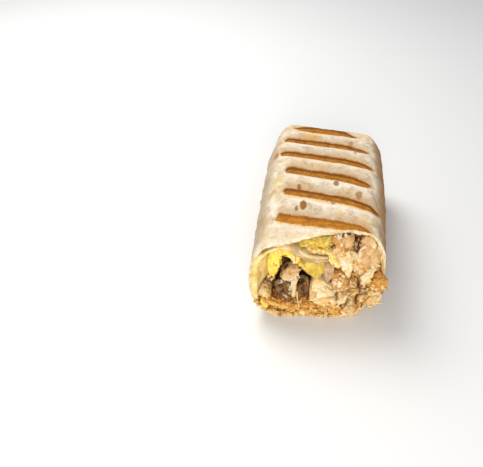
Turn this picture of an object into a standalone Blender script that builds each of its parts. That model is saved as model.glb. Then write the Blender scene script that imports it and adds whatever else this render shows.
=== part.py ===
"""Half of a grilled chicken wrap, cut across, lying on its seam with the cut end at -Y.

One rolled flour tortilla with six pressed grill marks holds a filling of chopped chicken, egg, pepper,
mushroom and fried crumbs. Lengths are in metres, +Z is up and the origin is the middle of the base.
"""

import math

import bmesh
import bpy
from mathutils import Vector, noise

MM = 0.001

# The rolled tortilla
WIDTH = 64.5 * MM  # the roll is 121.5 mm long and 47.6 mm high over the puffs
FRONT_RIGHT = 1.9 * MM  # how much the right side draws in at the cut
FRONT_LEFT = 0.1 * MM
BACK_LEFT = 2.6 * MM
CROWN = 46.4 * MM  # height of a grill mark's floor at the middle of the roll
# Height of the marks' floors along the roll, as (y, z)
CROWN_LINE = [(-62, 43.8), (-42, 44.2), (-24, 45.9), (-7, 46.3), (10, 45.5), (27, 43.6), (44, 41.6), (60, 41.6)]
PRESSED = 4.6 * MM  # how much taller the roll was before the grill pressed its top flat
PRESS_BLEND = 0.8 * MM  # how softly the flat top runs into the shoulders
WAIST = 21 * MM  # height of the widest part
SHEET = 1.9 * MM  # thickness of the tortilla
RIM_SHEET = 1.0 * MM  # and where the knife squeezed it at the cut
SIDE_POWER = 2.9
SHOULDER_POWER = 2.7
TOP_POWER = 2.7
BASE_POWER = 2.7
BASE_SAG = 1.8 * MM  # the roll would reach this far below the table, which presses it flat instead
TILT_FRONT = 0.09  # rise of the top from left to right at the cut, for each unit of width
DROOP = 2.2 * MM  # how far the top sags over the empty pocket at the left of the cut

# The closed end, where the sides of the tortilla are tucked in
TURN_START = 44.5 * MM
TURN_DEPTH = 11.4 * MM
TURN_INSET = 12 * MM
TUCK_STEP = 1.3 * MM

# The cut end
CUT_Y = -62.1 * MM  # where the knife's plane meets the lower left corner
CUT_SKEW = 0.098
CUT_LEAN = 0.13
CUT_RAGGED = 0.7 * MM
# Where the edge is torn back: place in the section, reach and depth
TEARS = [(1 * MM, 46 * MM, 9 * MM, 2.2 * MM), (16 * MM, 46 * MM, 9 * MM, 2.2 * MM), (29 * MM, 8 * MM, 10 * MM, 6.0 * MM),
         (33 * MM, 32 * MM, 9 * MM, 1.2 * MM)]

# The grill marks
RIBS = 6
FIRST_RIB = -41.1 * MM
RIB_PITCH = 17.15 * MM
RIB_SKEW = -0.15
RIB_LEFT = -22.5 * MM
RIB_RIGHT = 23.5 * MM
RIB_END = 3 * MM
GROOVE_FLOOR = 2.0 * MM  # half the width of a mark's floor
GROOVE_EDGE = 4.4 * MM  # half the width across the tops of its walls
WALL_SHARE = 0.65  # how much of the rise is in those walls
PUFF = 1.6 * MM  # how far the tortilla puffs up between marks

# Resolution of the sheet
AROUND = 48
RIM_ROWS = 2
TURN_ROWS = 5
RIM_BLEND = 1.6 * MM  # how closely rows crowd where a grill mark runs out through the edge
FACE_ROWS = 3
INNER_STATIONS = [0.0, 0.07] + [i / 7 for i in range(1, 8)] + [1.4, 1.8, 2.0, 2.5]

# Fits
CLEAR = 0.4 * MM  # between the tortilla and what lies in it
GAP = 0.35 * MM  # between two pieces of the filling

CREAM = (0.80, 0.66, 0.48)
CHICKEN = (0.78, 0.56, 0.33)
PALE_CHICKEN = (0.84, 0.66, 0.45)
EGG = (0.87, 0.72, 0.12)
PEPPER = (0.62, 0.50, 0.06)
MUSHROOM = (0.16, 0.10, 0.06)
ONION = (0.50, 0.36, 0.20)
CRUMB = (0.58, 0.28, 0.06)


def clear_scene():
    for obj in list(bpy.data.objects):
        bpy.data.objects.remove(obj, do_unlink=True)


def smooth_between(start, end, value):
    """Rises from 0 at start to 1 at end, whichever of them is larger."""
    share = min(1.0, max(0.0, (value - start) / (end - start)))
    return share * share * (3 - 2 * share)


def signed_power(value, power):
    return math.copysign(abs(value) ** power, value)


def material(name, colour, roughness):
    made = bpy.data.materials.new(name)
    made.use_nodes = True
    shader = made.node_tree.nodes["Principled BSDF"]
    shader.inputs["Base Color"].default_value = (*colour, 1)
    shader.inputs["Roughness"].default_value = roughness
    return made


def add_object(name, points, faces, finish):
    mesh = bpy.data.meshes.new(name)
    mesh.from_pydata([tuple(p) for p in points], [], faces)
    mesh.update()
    mesh.materials.append(finish)
    made = bpy.data.objects.new(name, mesh)
    bpy.context.collection.objects.link(made)
    return made


def join_rings(rings):
    """Points and faces of a skin over rings of equal length, closed round each ring but open at both ends."""
    size = len(rings[0])
    points = [p for ring in rings for p in ring]
    faces = []
    for row in range(len(rings) - 1):
        for i in range(size):
            a, b = row * size + i, row * size + (i + 1) % size
            faces.append((a, b, b + size, a + size))
    return points, faces


def capped_solid(rings, first_tip, last_tip):
    """A closed solid over rings, each end drawn to one point."""
    points, faces = join_rings(rings)
    size, last = len(rings[0]), (len(rings) - 1) * len(rings[0])
    points += [first_tip, last_tip]
    tip, end = len(points) - 2, len(points) - 1
    for i in range(size):
        after = (i + 1) % size
        faces.append((tip, after, i))
        faces.append((end, last + i, last + after))
    return points, faces


def point_outwards(obj):
    shape = bmesh.new()
    shape.from_mesh(obj.data)
    bmesh.ops.recalc_face_normals(shape, faces=shape.faces)
    shape.to_mesh(obj.data)
    shape.free()


def crown_height(y):
    """Height of the grill marks' floors along the roll."""
    for (y0, z0), (y1, z1) in zip(CROWN_LINE, CROWN_LINE[1:]):
        if y <= y1 * MM:
            break
    share = (y / MM - y0) / (y1 - y0)
    return (z0 + (z1 - z0) * (0.5 * share + 0.5 * smooth_between(0.0, 1.0, share))) * MM


def tilt(y):
    return TILT_FRONT * smooth_between(-20 * MM, -53 * MM, y)


def section_point(angle, y, inset):
    """(x, z) of the roll's outline at one station, drawn in by inset all round."""
    across, up = math.cos(angle), math.sin(angle)
    drawn = (FRONT_RIGHT if across > 0 else FRONT_LEFT) * smooth_between(0, -46 * MM, y)
    if across < 0:
        drawn += BACK_LEFT * smooth_between(24 * MM, 52 * MM, y)
    power = SHOULDER_POWER if up >= 0 else SIDE_POWER
    x = (WIDTH / 2 - inset - drawn) * signed_power(across, 2 / power)
    if up >= 0:
        plate = crown_height(min(y, TURN_START)) - inset + tilt(y) * x
        plate -= DROOP * smooth_between(-3 * MM, -21 * MM, x) * smooth_between(-34 * MM, -54 * MM, y)
        rise = abs(up) ** (2 / TOP_POWER)
        free = WAIST + (plate + PRESSED - WAIST) * rise
        z = (free + plate - math.sqrt((free - plate) ** 2 + 4 * PRESS_BLEND**2)) / 2
    else:
        reach = WAIST - inset + BASE_SAG
        z = max(inset, WAIST - reach * abs(up) ** (2 / BASE_POWER))
    return x, z


def even_angles(count):
    """Angles that space points evenly round the outline, from the middle of the base."""
    steps = 2000
    fine = [2 * math.pi * i / steps - math.pi / 2 for i in range(steps + 1)]
    outline = [section_point(a, 0.0, 0.0) for a in fine]
    along = [0.0]
    for (x0, z0), (x1, z1) in zip(outline, outline[1:]):
        along.append(along[-1] + math.hypot(x1 - x0, z1 - z0))
    angles, reached = [], 0
    for i in range(count):
        wanted = along[-1] * i / count
        while along[reached] < wanted:
            reached += 1
        angles.append(fine[reached])
    return angles


def cut_plane(x, z):
    """Where the knife passed, as a Y for a place in the section."""
    return CUT_Y + CUT_SKEW * (x + WIDTH / 2) + CUT_LEAN * z


def sheet_at(station):
    """Thickness of the sheet along the roll, for the stations of skin_point."""
    return RIM_SHEET + (SHEET - RIM_SHEET) * smooth_between(0.0, 0.08, station)


def rim_y(angle):
    """Where the tortilla ends at the cut, torn back at the right."""
    x, z = section_point(angle, CUT_Y, 0.0)
    ragged = noise.noise(Vector((3 * math.cos(angle), 3 * math.sin(angle), 4.7)))
    back = CUT_RAGGED * (1 + ragged) * smooth_between(0.5 * MM, 4 * MM, z)
    for tear_x, tear_z, reach, depth in TEARS:
        back += depth * math.exp(-((x - tear_x) ** 2 + (z - tear_z) ** 2) / reach**2)
    return cut_plane(x, z) + back


def rib_share(x, y):
    """1 on the floor of a grill mark, 0 on the puffed tortilla between marks."""
    along = (y - FIRST_RIB - RIB_SKEW * x) / RIB_PITCH
    nearest = min(RIBS - 1, max(0, round(along)))
    away = abs(along - nearest) * RIB_PITCH
    wall = smooth_between(GROOVE_FLOOR, GROOVE_EDGE, away)
    pillow = smooth_between(GROOVE_FLOOR, RIB_PITCH / 2, away)
    across = smooth_between(RIB_LEFT - RIB_END, RIB_LEFT, x) * smooth_between(RIB_RIGHT + RIB_END, RIB_RIGHT, x)
    return across * (1 - WALL_SHARE * wall - (1 - WALL_SHARE) * pillow)


TOP_FRONT = cut_plane(0.0, CROWN)


def row_y(angle, barrel):
    """Y of a row along the roll. Rows follow the grill marks and crowd up behind the torn edge."""
    edge = rim_y(angle)
    if barrel == 0.0:
        return edge
    x = section_point(angle, TOP_FRONT, 0.0)[0]
    ahead = TOP_FRONT + (TURN_START - TOP_FRONT) * barrel + RIB_SKEW * x - edge
    return edge + (ahead + math.sqrt(ahead**2 + 4 * RIM_BLEND**2)) / 2


def skin_point(angle, station, inset):
    """A point of the rolled sheet. The station runs from 0 at the cut to 1 at the turn, 2 at the end face
    and 3 at its middle."""
    barrel = min(station, 1.0)
    turn = min(max(station - 1, 0.0), 1.0) * math.pi / 2
    face = min(max(station - 2, 0.0), 1.0)
    drawn_in = TURN_INSET * (1 - math.cos(turn))
    y = row_y(angle, barrel)
    x, z = section_point(angle, y, inset + drawn_in)
    y += (TURN_DEPTH - inset) * math.sin(turn) - RIB_SKEW * section_point(angle, TOP_FRONT, 0.0)[0] * face
    x *= 1 - face
    z = WAIST + (z - WAIST) * (1 - face)
    if inset == 0.0:
        top = smooth_between(0.45, 0.85, math.sin(angle)) * math.cos(turn)
        z += PUFF * top * (1 - rib_share(x, y))
        y -= TUCK_STEP * tuck_share(x, z) * math.sin(turn)
    return Vector((x, y, z))


def tuck_share(x, z):
    """1 where the end face lies under the folded flap, whose edge runs from low left to high right."""
    edge = (z - WAIST) - 0.35 * x + 5 * MM * math.sin(x / (14 * MM))
    return smooth_between(-1.5 * MM, 1.5 * MM, edge)


def barrel_stations():
    """Rows along the roll, five to each grill mark, so that the marks' walls fall on rows."""
    first = FIRST_RIB - GROOVE_EDGE
    places = [TOP_FRONT + (first - TOP_FRONT) * i / RIM_ROWS for i in range(RIM_ROWS)]
    for rib in range(RIBS - 1):
        middle = FIRST_RIB + rib * RIB_PITCH
        places += [middle + away for away in (-GROOVE_EDGE, -GROOVE_FLOOR, GROOVE_FLOOR, GROOVE_EDGE)]
        places.append(middle + RIB_PITCH / 2)
    return [(place - TOP_FRONT) / (TURN_START - TOP_FRONT) for place in places if place < TURN_START]


def rolled_sheet(finish):
    """The outer turn of the tortilla, a cup that is open at the cut."""
    angles = even_angles(AROUND)
    turns = [1 + i / TURN_ROWS for i in range(TURN_ROWS + 1)]
    stations = barrel_stations() + turns + [2 + i / FACE_ROWS for i in range(1, FACE_ROWS)]
    outside = [[skin_point(a, s, 0.0) for a in angles] for s in stations]
    inside = [[skin_point(a, s, sheet_at(s)) for a in angles] for s in INNER_STATIONS]
    rings = inside[::-1] + outside
    points, faces = capped_solid(rings, skin_point(0.0, 3.0, SHEET), skin_point(0.0, 3.0, 0.0))
    made = add_object("tortilla", points, faces, finish)
    point_outwards(made)
    return made


# The inner turn, from its free edge at the top middle, over the left and down into the outer turn's side.
# Each place is (x, z) in the section at the middle of the roll.
INNER_TURN = [(3.2, 34.2), (-0.8, 33.9), (-5.0, 35.4), (-9.0, 39.0), (-13.0, 42.0), (-18.0, 42.8), (-23.2, 40.4),
              (-27.2, 35.2), (-28.9, 28.0), (-28.8, 21.0), (-28.6, 15.0), (-28.5, 11.5), (-28.4, 9.0)]
TURN_WIDTHS = [1.0, 1.8, 2.6, 2.8, 2.2, 1.7, 1.4, 1.3, 1.3, 1.3, 1.3, 1.4, 1.4]  # thickness at each place
FLARE = 7.0 * MM  # how far its left side slants inwards, so that the pocket opens towards the cut
FLARE_DEPTH = 15 * MM
TURN_BACK = 30 * MM
TURN_DEPTHS = [0.5, 4, 8, 12, 16]  # mm behind the cut, then shares of the way from there to its back
TURN_SHARES = [0.35, 0.7, 1.0]


def catmull_rom(points, steps, closed=False):
    """A smooth run through 2D points."""
    count = len(points)
    spans = count if closed else count - 1
    made = []
    for i in range(spans):
        if closed:
            near = [points[(i + k) % count] for k in (-1, 0, 1, 2)]
        else:
            near = [points[min(count - 1, max(0, i + k))] for k in (-1, 0, 1, 2)]
        for step in range(steps):
            t = step / steps
            weights = (
                -t / 2 + t * t - t**3 / 2,
                1 - 2.5 * t * t + 1.5 * t**3,
                t / 2 + 2 * t * t - 1.5 * t**3,
                (t**3 - t * t) / 2,
            )
            made.append(tuple(sum(w * p[axis] for w, p in zip(weights, near)) for axis in (0, 1)))
    if not closed:
        made.append(points[-1])
    return made


def fitted(x, z, y):
    """A place in the middle section moved to the section at y, as the roll's top is lower there."""
    share = max(0.0, (z - WAIST) / (CROWN - WAIST))
    droop = DROOP * smooth_between(-3 * MM, -21 * MM, x) * smooth_between(-34 * MM, -54 * MM, y)
    return x, z + share * (crown_height(y) - CROWN + tilt(y) * x - droop)


def band(path, widths):
    """The closed outline of a strip with its own width at each place of a 2D path."""
    sides = ([], [])
    for i, (x, z) in enumerate(path):
        before, after = path[max(0, i - 1)], path[min(len(path) - 1, i + 1)]
        along = Vector((after[0] - before[0], after[1] - before[1])).normalized()
        for side, sign in zip(sides, (-1, 1)):
            side.append((x - sign * along.y * widths[i] / 2, z + sign * along.x * widths[i] / 2))
    return sides[0] + sides[1][::-1]


def signed_area(loop):
    return sum(a[0] * b[1] - b[0] * a[1] for a, b in zip(loop, loop[1:] + loop[:1])) / 2


def grown(loop, grow):
    """The outline moved outwards along its own normals."""
    turn = math.copysign(1, signed_area(loop))
    made = []
    for i, (x, z) in enumerate(loop):
        before, after = loop[i - 1], loop[(i + 1) % len(loop)]
        along = Vector((after[0] - before[0], after[1] - before[1])).normalized()
        made.append((x + turn * along.y * grow, z - turn * along.x * grow))
    return made


def inner_turn(grow, finish):
    """The part of the spiral that shows inside the outer turn, with its free edge lifted off at the cut."""
    path = catmull_rom([(x * MM, z * MM) for x, z in INNER_TURN], 2)
    widths = [w * MM for _, w in catmull_rom(list(enumerate(TURN_WIDTHS)), 2)]
    outline = grown(band(path, widths), 1.2 * grow)
    stations = [(depth * MM, 0.0) for depth in TURN_DEPTHS] + [(TURN_DEPTHS[-1] * MM, share) for share in TURN_SHARES]
    rings = []
    for depth, share in stations:
        ring = []
        for x, z in outline:
            y = cut_plane(x, z) + depth
            y += (TURN_BACK - y) * share
            near_x, near_z = fitted(x, z, y)
            left = smooth_between(-13 * MM, -28 * MM, x) * smooth_between(9 * MM, 19 * MM, z)
            near_x += FLARE * left * smooth_between(0.0, FLARE_DEPTH, y - cut_plane(x, z))
            ring.append(Vector((near_x, y, near_z)))
        rings.append(ring)
    for place in rings[0]:
        place.y -= grow
    for place in rings[-1]:
        place.y += grow
    return strip_solid("inner_turn", rings, finish)


def strip_solid(name, rings, finish):
    """A solid over rings that are thin bands, whose ends are filled across the band."""
    points, faces = join_rings(rings)
    size, last = len(rings[0]), (len(rings) - 1) * len(rings[0])
    for i in range(size // 2 - 1):
        j = size - 1 - i
        faces.append((i, i + 1, j - 1, j))
        faces.append((last + i, last + j, last + j - 1, last + i + 1))
    made = add_object(name, points, faces, finish)
    point_outwards(made)
    return made


def bake(obj):
    """Applies an object's modifiers."""
    bpy.context.view_layer.update()
    graph = bpy.context.evaluated_depsgraph_get()
    mesh = bpy.data.meshes.new_from_object(obj.evaluated_get(graph))
    obj.modifiers.clear()
    obj.data = mesh


def combine(obj, others, operation):
    """Joins other solids to obj, or cuts them from it, one by one, and removes them."""
    for other in others:
        step = obj.modifiers.new(operation, "BOOLEAN")
        step.operation = operation
        step.solver = "MANIFOLD"
        step.object = other
        bake(obj)
        bpy.data.objects.remove(other, do_unlink=True)
    keep_largest(obj)


def keep_largest(obj):
    """Drops the scraps that a cut leaves beside the main body."""
    shape = bmesh.new()
    shape.from_mesh(obj.data)
    left, bodies = set(shape.verts), []
    while left:
        body, edge = set(), [next(iter(left))]
        while edge:
            vert = edge.pop()
            if vert in body:
                continue
            body.add(vert)
            edge += [e.other_vert(vert) for e in vert.link_edges]
        left -= body
        bodies.append(body)
    bodies.sort(key=len)
    for body in bodies[:-1]:
        bmesh.ops.delete(shape, geom=list(body), context="VERTS")
    shape.to_mesh(obj.data)
    shape.free()


# Each piece of filling: name, material, front and depth from the cut in mm, unevenness, and its outline in
# the cut in mm. An outline of corners is a lump. Places with a third number are a strip of that half
# thickness along them. A piece that is cut back by another comes after it.
PIECES = [
    ("pepper_upper", "pepper", 1.0, 40, 0.08, [(-13, 41.5), (-7, 44.5), (3, 45.5), (5, 42), (3.5, 39.6), (-8, 40.2)]),
    ("egg_band", "egg", 1.2, 46, 0.08,
     [(-9.5, 39.4, 0.9), (-6, 37.8, 1.9), (-1, 36.6, 2.2), (3.5, 34, 2.7), (7, 31, 2.5), (9, 28.6, 1.2)]),
    ("egg_layer", "egg", 1.0, 16, 0.10,
     [(-21.5, 22, 1.2), (-21, 29, 2.6), (-20.5, 35.5, 3.0), (-16.5, 38.5, 2.8), (-12, 35, 2.4), (-9.5, 31.5, 1.2)]),
    ("pepper_lower", "pepper", -0.4, 24, 0.07, [(-9.5, 33), (-2, 32.4), (2, 31.4), (2, 26), (-1, 21.5), (-8.5, 28)]),
    ("chicken_top", "pale", 0.8, 16, 0.12, [(4.6, 45.6), (13.2, 46.6), (14, 42), (12.5, 38.4), (8, 39.2), (5.6, 42)]),
    ("chicken_centre", "pale", -0.2, 18, 0.13, [(7, 39.4), (13.4, 38.4), (15.4, 31), (14, 23), (10.6, 27), (6.8, 33.4)]),
    ("chicken_pink", "chicken", 3.0, 22, 0.12, [(16.8, 37.6), (18.4, 43), (22.2, 43.8), (25.6, 40), (25.6, 37), (20, 35.8)]),
    ("chicken_right", "chicken", 0.8, 22, 0.12, [(16, 34.6), (21, 37), (26.6, 36), (26.6, 28), (22, 23), (16, 23.5)]),
    ("chicken_strip", "pale", -0.6, 9, 0.05, [(23.4, 28.4, 0.9), (22.6, 25.6, 1.9), (21.4, 22.4, 1.8), (20.4, 19.6, 0.9)]),
    ("crumb_lump_right", "crumb", -0.4, 17, 0.16, [(24, 22), (27, 24.4), (31, 22.8), (32, 17), (27, 14.6), (22.6, 18)]),
    ("chicken_bottom_right", "pale", -0.4, 13, 0.08, [(22.4, 13), (25, 15.2), (30, 14.4), (29.6, 10), (26, 5.6), (22.4, 8.8)]),
    ("chicken_lower", "chicken", 0.2, 18, 0.13, [(9, 25.6), (14, 21.6), (18, 18.5), (17, 10.8), (9.6, 13), (5.8, 20)]),
    ("chicken_pale", "pale", -0.8, 8, 0.08, [(9, 9), (11, 13.5), (13, 16.6), (15, 14), (12, 8.6)]),
    ("mushroom_slice", "onion", 1.4, 9, 0.06, [(1.2, 31), (6.8, 29.4), (6, 23), (4.2, 18), (1.2, 25)]),
    ("chicken_wedge", "pale", -1.0, 13, 0.05, [(-2.6, 22.6), (1.6, 21.4), (8.4, 13.2), (2, 11), (-3.2, 9.4)]),
    ("chicken_under", "pale", -0.4, 9, 0.05, [(-1, 9.2, 0.7), (3, 8.9, 1.6), (6.5, 8.6, 1.7), (9, 8.6, 0.9)]),
    ("crumb_lump_bottom", "crumb", -0.4, 12, 0.16, [(5.6, 6.6), (10.8, 7), (11.8, 3.8), (10, 1.4), (6, 1.6)]),
    ("chicken_bottom_middle", "pale", -0.4, 12, 0.08, [(12.2, 5.4), (16, 9), (19, 6.6), (18, 2.2), (12.4, 1.4)]),
    ("chicken_bottom_bit", "pale", -0.2, 10, 0.10, [(19, 11.4), (21, 14), (23, 12), (22.6, 5.6), (20, 3.8)]),
    ("mushroom_left", "mushroom", 3.0, 11, 0.10, [(-20.8, 11), (-16.4, 17), (-11.8, 12.6), (-12.4, 4), (-19.8, 5)]),
    ("mushroom_middle", "mushroom", 4.0, 11, 0.10, [(-9.4, 15.6), (-4.4, 17.2), (-3.4, 10), (-5, 5), (-9.6, 7)]),
    ("chicken_flap", "pale", 0.8, 7, 0.06, [(-13.3, 28.6), (-10, 26), (-12.6, 18.8), (-17.8, 22)]),
    ("chicken_sliver", "pale", 0.0, 6, 0.05, [(-10.4, 28.6, 0.6), (-10.8, 24, 1.1), (-11, 17.5, 1.1), (-10.8, 11.4, 0.6)]),
    ("crumb_layer", "crumb", 0.8, 66, 0.09,
     [(-24.5, 8.5, 0.9), (-20.5, 6.5, 1.6), (-16.4, 5.0, 2.0), (-11, 4.0, 2.3), (-4, 4.0, 2.5), (1.6, 4.0, 2.4), (4.8, 3.6, 1.6)]),
    ("egg_bit_low", "egg", 0.4, 8, 0.12, [(-26.5, 7.5), (-24.5, 8), (-22.4, 5.6), (-24, 2.6)]),
    ("chicken_left_low", "chicken", 0.8, 12, 0.10, [(-27.5, 12.5), (-24, 13.5), (-21.5, 11), (-25, 8.5)]),
]
ROUNDING = 2  # points that smooth each corner of an outline
# Share of a piece's depth, and how much of its section is there
LUMP_STATIONS = [(0.0, 0.72), (0.05, 0.95), (0.2, 1.0), (0.85, 0.94), (1.0, 0.55)]
PLAIN_STATIONS = [(0.0, 1.0), (0.5, 1.0), (1.0, 1.0)]
STRIP_STATIONS = [(0.0, 0.75), (0.04, 1.0), (0.5, 1.0), (0.96, 1.0), (1.0, 0.75)]


def uneven(place, seed, share, rough):
    return rough * noise.noise(seed + Vector((place[0], share * 3 * MM, place[1])) / (4 * MM))


def fullness(place, seed, share, rough, plain):
    """How far the skin stands out at a place. A plain outline holds every one of them."""
    return 1 + (rough if plain else uneven(place, seed, share, rough))


def lump_sections(outline, seed, rough, plain):
    """Sections of a lump, each scaled about the middle of its outline."""
    loop = catmull_rom([(x * MM, z * MM) for x, z in outline], ROUNDING, closed=True)
    middle = Vector((sum(p[0] for p in loop), sum(p[1] for p in loop))) / len(loop)
    sections = []
    for share, scale in PLAIN_STATIONS if plain else LUMP_STATIONS:
        places = [middle + (Vector(p) - middle) * scale * fullness(p, seed, share, rough, plain) for p in loop]
        sections.append((share, [tuple(p) for p in places]))
    return sections


def strip_sections(outline, seed, rough, plain):
    """Sections of a strip, each as a band whose thickness is scaled."""
    spine = catmull_rom([(x * MM, z * MM) for x, z, _ in outline], ROUNDING)
    half = catmull_rom([(i, entry[2] * MM) for i, entry in enumerate(outline)], ROUNDING)
    sections = []
    for share, scale in PLAIN_STATIONS if plain else STRIP_STATIONS:
        widths = [2 * h * scale * fullness(p, seed, share, 2 * rough, plain) for p, (_, h) in zip(spine, half)]
        sections.append((share, band(spine, widths)))
    return sections


def piece(name, front, depth, rough, outline, grow, finish, plain=False):
    """A piece of filling whose section is the outline, rounded at both ends, with an uneven skin. A plain
    one keeps its full section from end to end."""
    seed = Vector((len(name) * 3.7, sum(map(ord, name)) * 0.13, 0.0))
    strip = len(outline[0]) == 3
    make = strip_sections if strip else lump_sections
    sections = make(outline, seed, rough, plain)
    spare = grow + (1.4 * MM if plain else 0.0)
    rings = []
    for share, loop in sections:
        ring = []
        for x, z in grown(loop, grow):
            start = cut_plane(x, z) + (front + 20 * uneven((x, z), seed, 0.0, rough)) * MM - spare
            y = start + share * (depth * MM + 2 * spare)
            near_x, near_z = fitted(x, z, y)
            ring.append(Vector((near_x, y, near_z)))
        rings.append(ring)
    if strip:
        return strip_solid(name, rings, finish)
    tips = [sum(ring, Vector()) / len(ring) for ring in (rings[0], rings[-1])]
    tips[0].y -= 0.6 * MM
    tips[1].y += 0.6 * MM
    points, faces = capped_solid(rings, *tips)
    made = add_object(name, points, faces, finish)
    point_outwards(made)
    return made


WALL_OUT = 5 * MM


def wall(grow, finish):
    """The outer turn of the tortilla with its inside and its edge grown, and far thicker outside."""
    angles = even_angles(AROUND)
    stations = INNER_STATIONS[:-2]
    inside = [[skin_point(a, s, sheet_at(s) + grow) for a in angles] for s in stations]
    outside = [[skin_point(a, s, -WALL_OUT) for a in angles] for s in stations]
    for ring in (inside[0], outside[0]):
        for place in ring:
            place.y -= grow
    rings = inside[::-1] + outside
    tips = [sum(ring, Vector()) / len(ring) for ring in (rings[0], rings[-1])]
    points, faces = capped_solid(rings, *tips)
    made = add_object("wall", points, faces, finish)
    point_outwards(made)
    return made


CORE_ROWS = 9
CORE_BACK = 1.7
HOLLOW = Vector((-12.0, 21.0)) * MM  # middle of the dark gap among the pieces
HOLLOW_RADIUS = 11 * MM
HOLLOW_DEPTH = 13 * MM
CORE_SET_BACK = 3.6 * MM


def core_front(x, z):
    """How far behind the cut the packed filling begins."""
    away = (Vector((x, z)) - HOLLOW).length
    deep = HOLLOW_DEPTH * math.exp(-((away / HOLLOW_RADIUS) ** 2))
    rough = 1.6 * MM * noise.noise(Vector((x, 0.0, z)) / (5 * MM))
    return CORE_SET_BACK + deep + rough


def filling_core(finish):
    """The packed filling that runs through the roll, with an uneven face at the cut."""
    inset = SHEET + CLEAR + 0.2 * MM
    angles = even_angles(AROUND // 2)
    rings = []
    for scale in (0.25, 0.5, 0.75, 0.95):
        ring = []
        for a in angles:
            x, z = section_point(a, CUT_Y, inset)
            x, z = x * scale, WAIST + (z - WAIST) * scale
            ring.append(Vector((x, cut_plane(x, z) + core_front(x, z), z)))
        rings.append(ring)
    for row in range(1, CORE_ROWS):
        station = 0.12 + (CORE_BACK - 0.12) * (row - 1) / (CORE_ROWS - 2)
        rings.append([skin_point(a, station, inset) for a in angles])
    tips = [sum(ring, Vector()) / len(ring) for ring in (rings[0], rings[-1])]
    points, faces = capped_solid(rings, *tips)
    made = add_object("filling_core", points, faces, finish)
    point_outwards(made)
    return made


def main():
    clear_scene()
    finishes = {
        "tortilla": material("tortilla", CREAM, 0.75),
        "chicken": material("chicken", CHICKEN, 0.6),
        "pale": material("pale_chicken", PALE_CHICKEN, 0.6),
        "egg": material("egg", EGG, 0.45),
        "pepper": material("pepper", PEPPER, 0.35),
        "mushroom": material("mushroom", MUSHROOM, 0.4),
        "onion": material("onion", ONION, 0.35),
        "crumb": material("crumb", CRUMB, 0.7),
    }
    tortilla = rolled_sheet(finishes["tortilla"])
    combine(tortilla, [inner_turn(0.0, finishes["tortilla"])], "UNION")

    placed = []
    for name, kind, front, depth, rough, outline in PIECES:
        made = piece(name, front, depth, rough, outline, 0.0, finishes[kind])
        cutters = [wall(CLEAR, finishes[kind]), inner_turn(CLEAR, finishes[kind])]
        cutters += [piece(*before, GAP, finishes[kind]) for before in placed]
        combine(made, cutters, "DIFFERENCE")
        placed.append((name, front, depth, rough, outline))

    core = filling_core(finishes["chicken"])
    cutters = [inner_turn(CLEAR, finishes["chicken"])]
    cutters += [piece(*before, GAP, finishes["chicken"], plain=True) for before in placed]
    combine(core, cutters, "DIFFERENCE")


main()
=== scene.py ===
# %% [markdown]
# # Half of a grilled chicken wrap
# A flour tortilla is rolled round chopped chicken, egg, pepper, mushroom and fried crumbs, pressed on a
# ridged grill and cut across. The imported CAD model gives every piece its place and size. This lesson gives
# each of them its skin: the blistered tortilla with its six scorched marks, and the torn, crumbly filling at
# the cut.

import math

import bmesh
import bpy
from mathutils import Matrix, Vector, noise
from mathutils.bvhtree import BVHTree


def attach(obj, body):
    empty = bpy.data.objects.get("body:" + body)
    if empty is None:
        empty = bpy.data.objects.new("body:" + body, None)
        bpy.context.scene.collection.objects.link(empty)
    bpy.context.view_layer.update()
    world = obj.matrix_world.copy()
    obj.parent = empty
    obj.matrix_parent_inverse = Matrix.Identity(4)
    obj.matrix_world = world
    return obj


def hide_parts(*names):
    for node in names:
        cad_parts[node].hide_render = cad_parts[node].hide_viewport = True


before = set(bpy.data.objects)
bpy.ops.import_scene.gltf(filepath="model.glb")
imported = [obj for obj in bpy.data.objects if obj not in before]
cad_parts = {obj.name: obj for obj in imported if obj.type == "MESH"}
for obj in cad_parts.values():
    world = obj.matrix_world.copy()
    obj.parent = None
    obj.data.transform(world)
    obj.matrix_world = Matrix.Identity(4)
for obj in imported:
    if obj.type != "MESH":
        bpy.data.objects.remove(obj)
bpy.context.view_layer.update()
MM = 0.001

# %% [markdown]
# ## Sums on sockets
# A finish is a sum of masks and colours. Written as nodes, one such sum is a dozen statements, so this small
# class wraps a socket and lets Python's own signs add the nodes. Numbers add Math nodes. Vectors and colours
# go through Vector Math and Mix, because a Math node would turn a colour grey.


# %% A socket that can be used in sums
def as_vector(value):
    return value if isinstance(value, (Wire, tuple, Vector)) else (value, value, value)


def as_colour(value):
    return value if isinstance(value, (Wire, tuple)) else (value, value, value, 1.0)


def set_stops(ramp, stops):
    """Gives a colour ramp its stops, each a place and a colour."""
    while len(ramp.elements) > 1:
        ramp.elements.remove(ramp.elements[-1])
    for i, (place, colour) in enumerate(stops):
        stop = ramp.elements[0] if i == 0 else ramp.elements.new(place)
        stop.position, stop.color = place, colour


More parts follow.
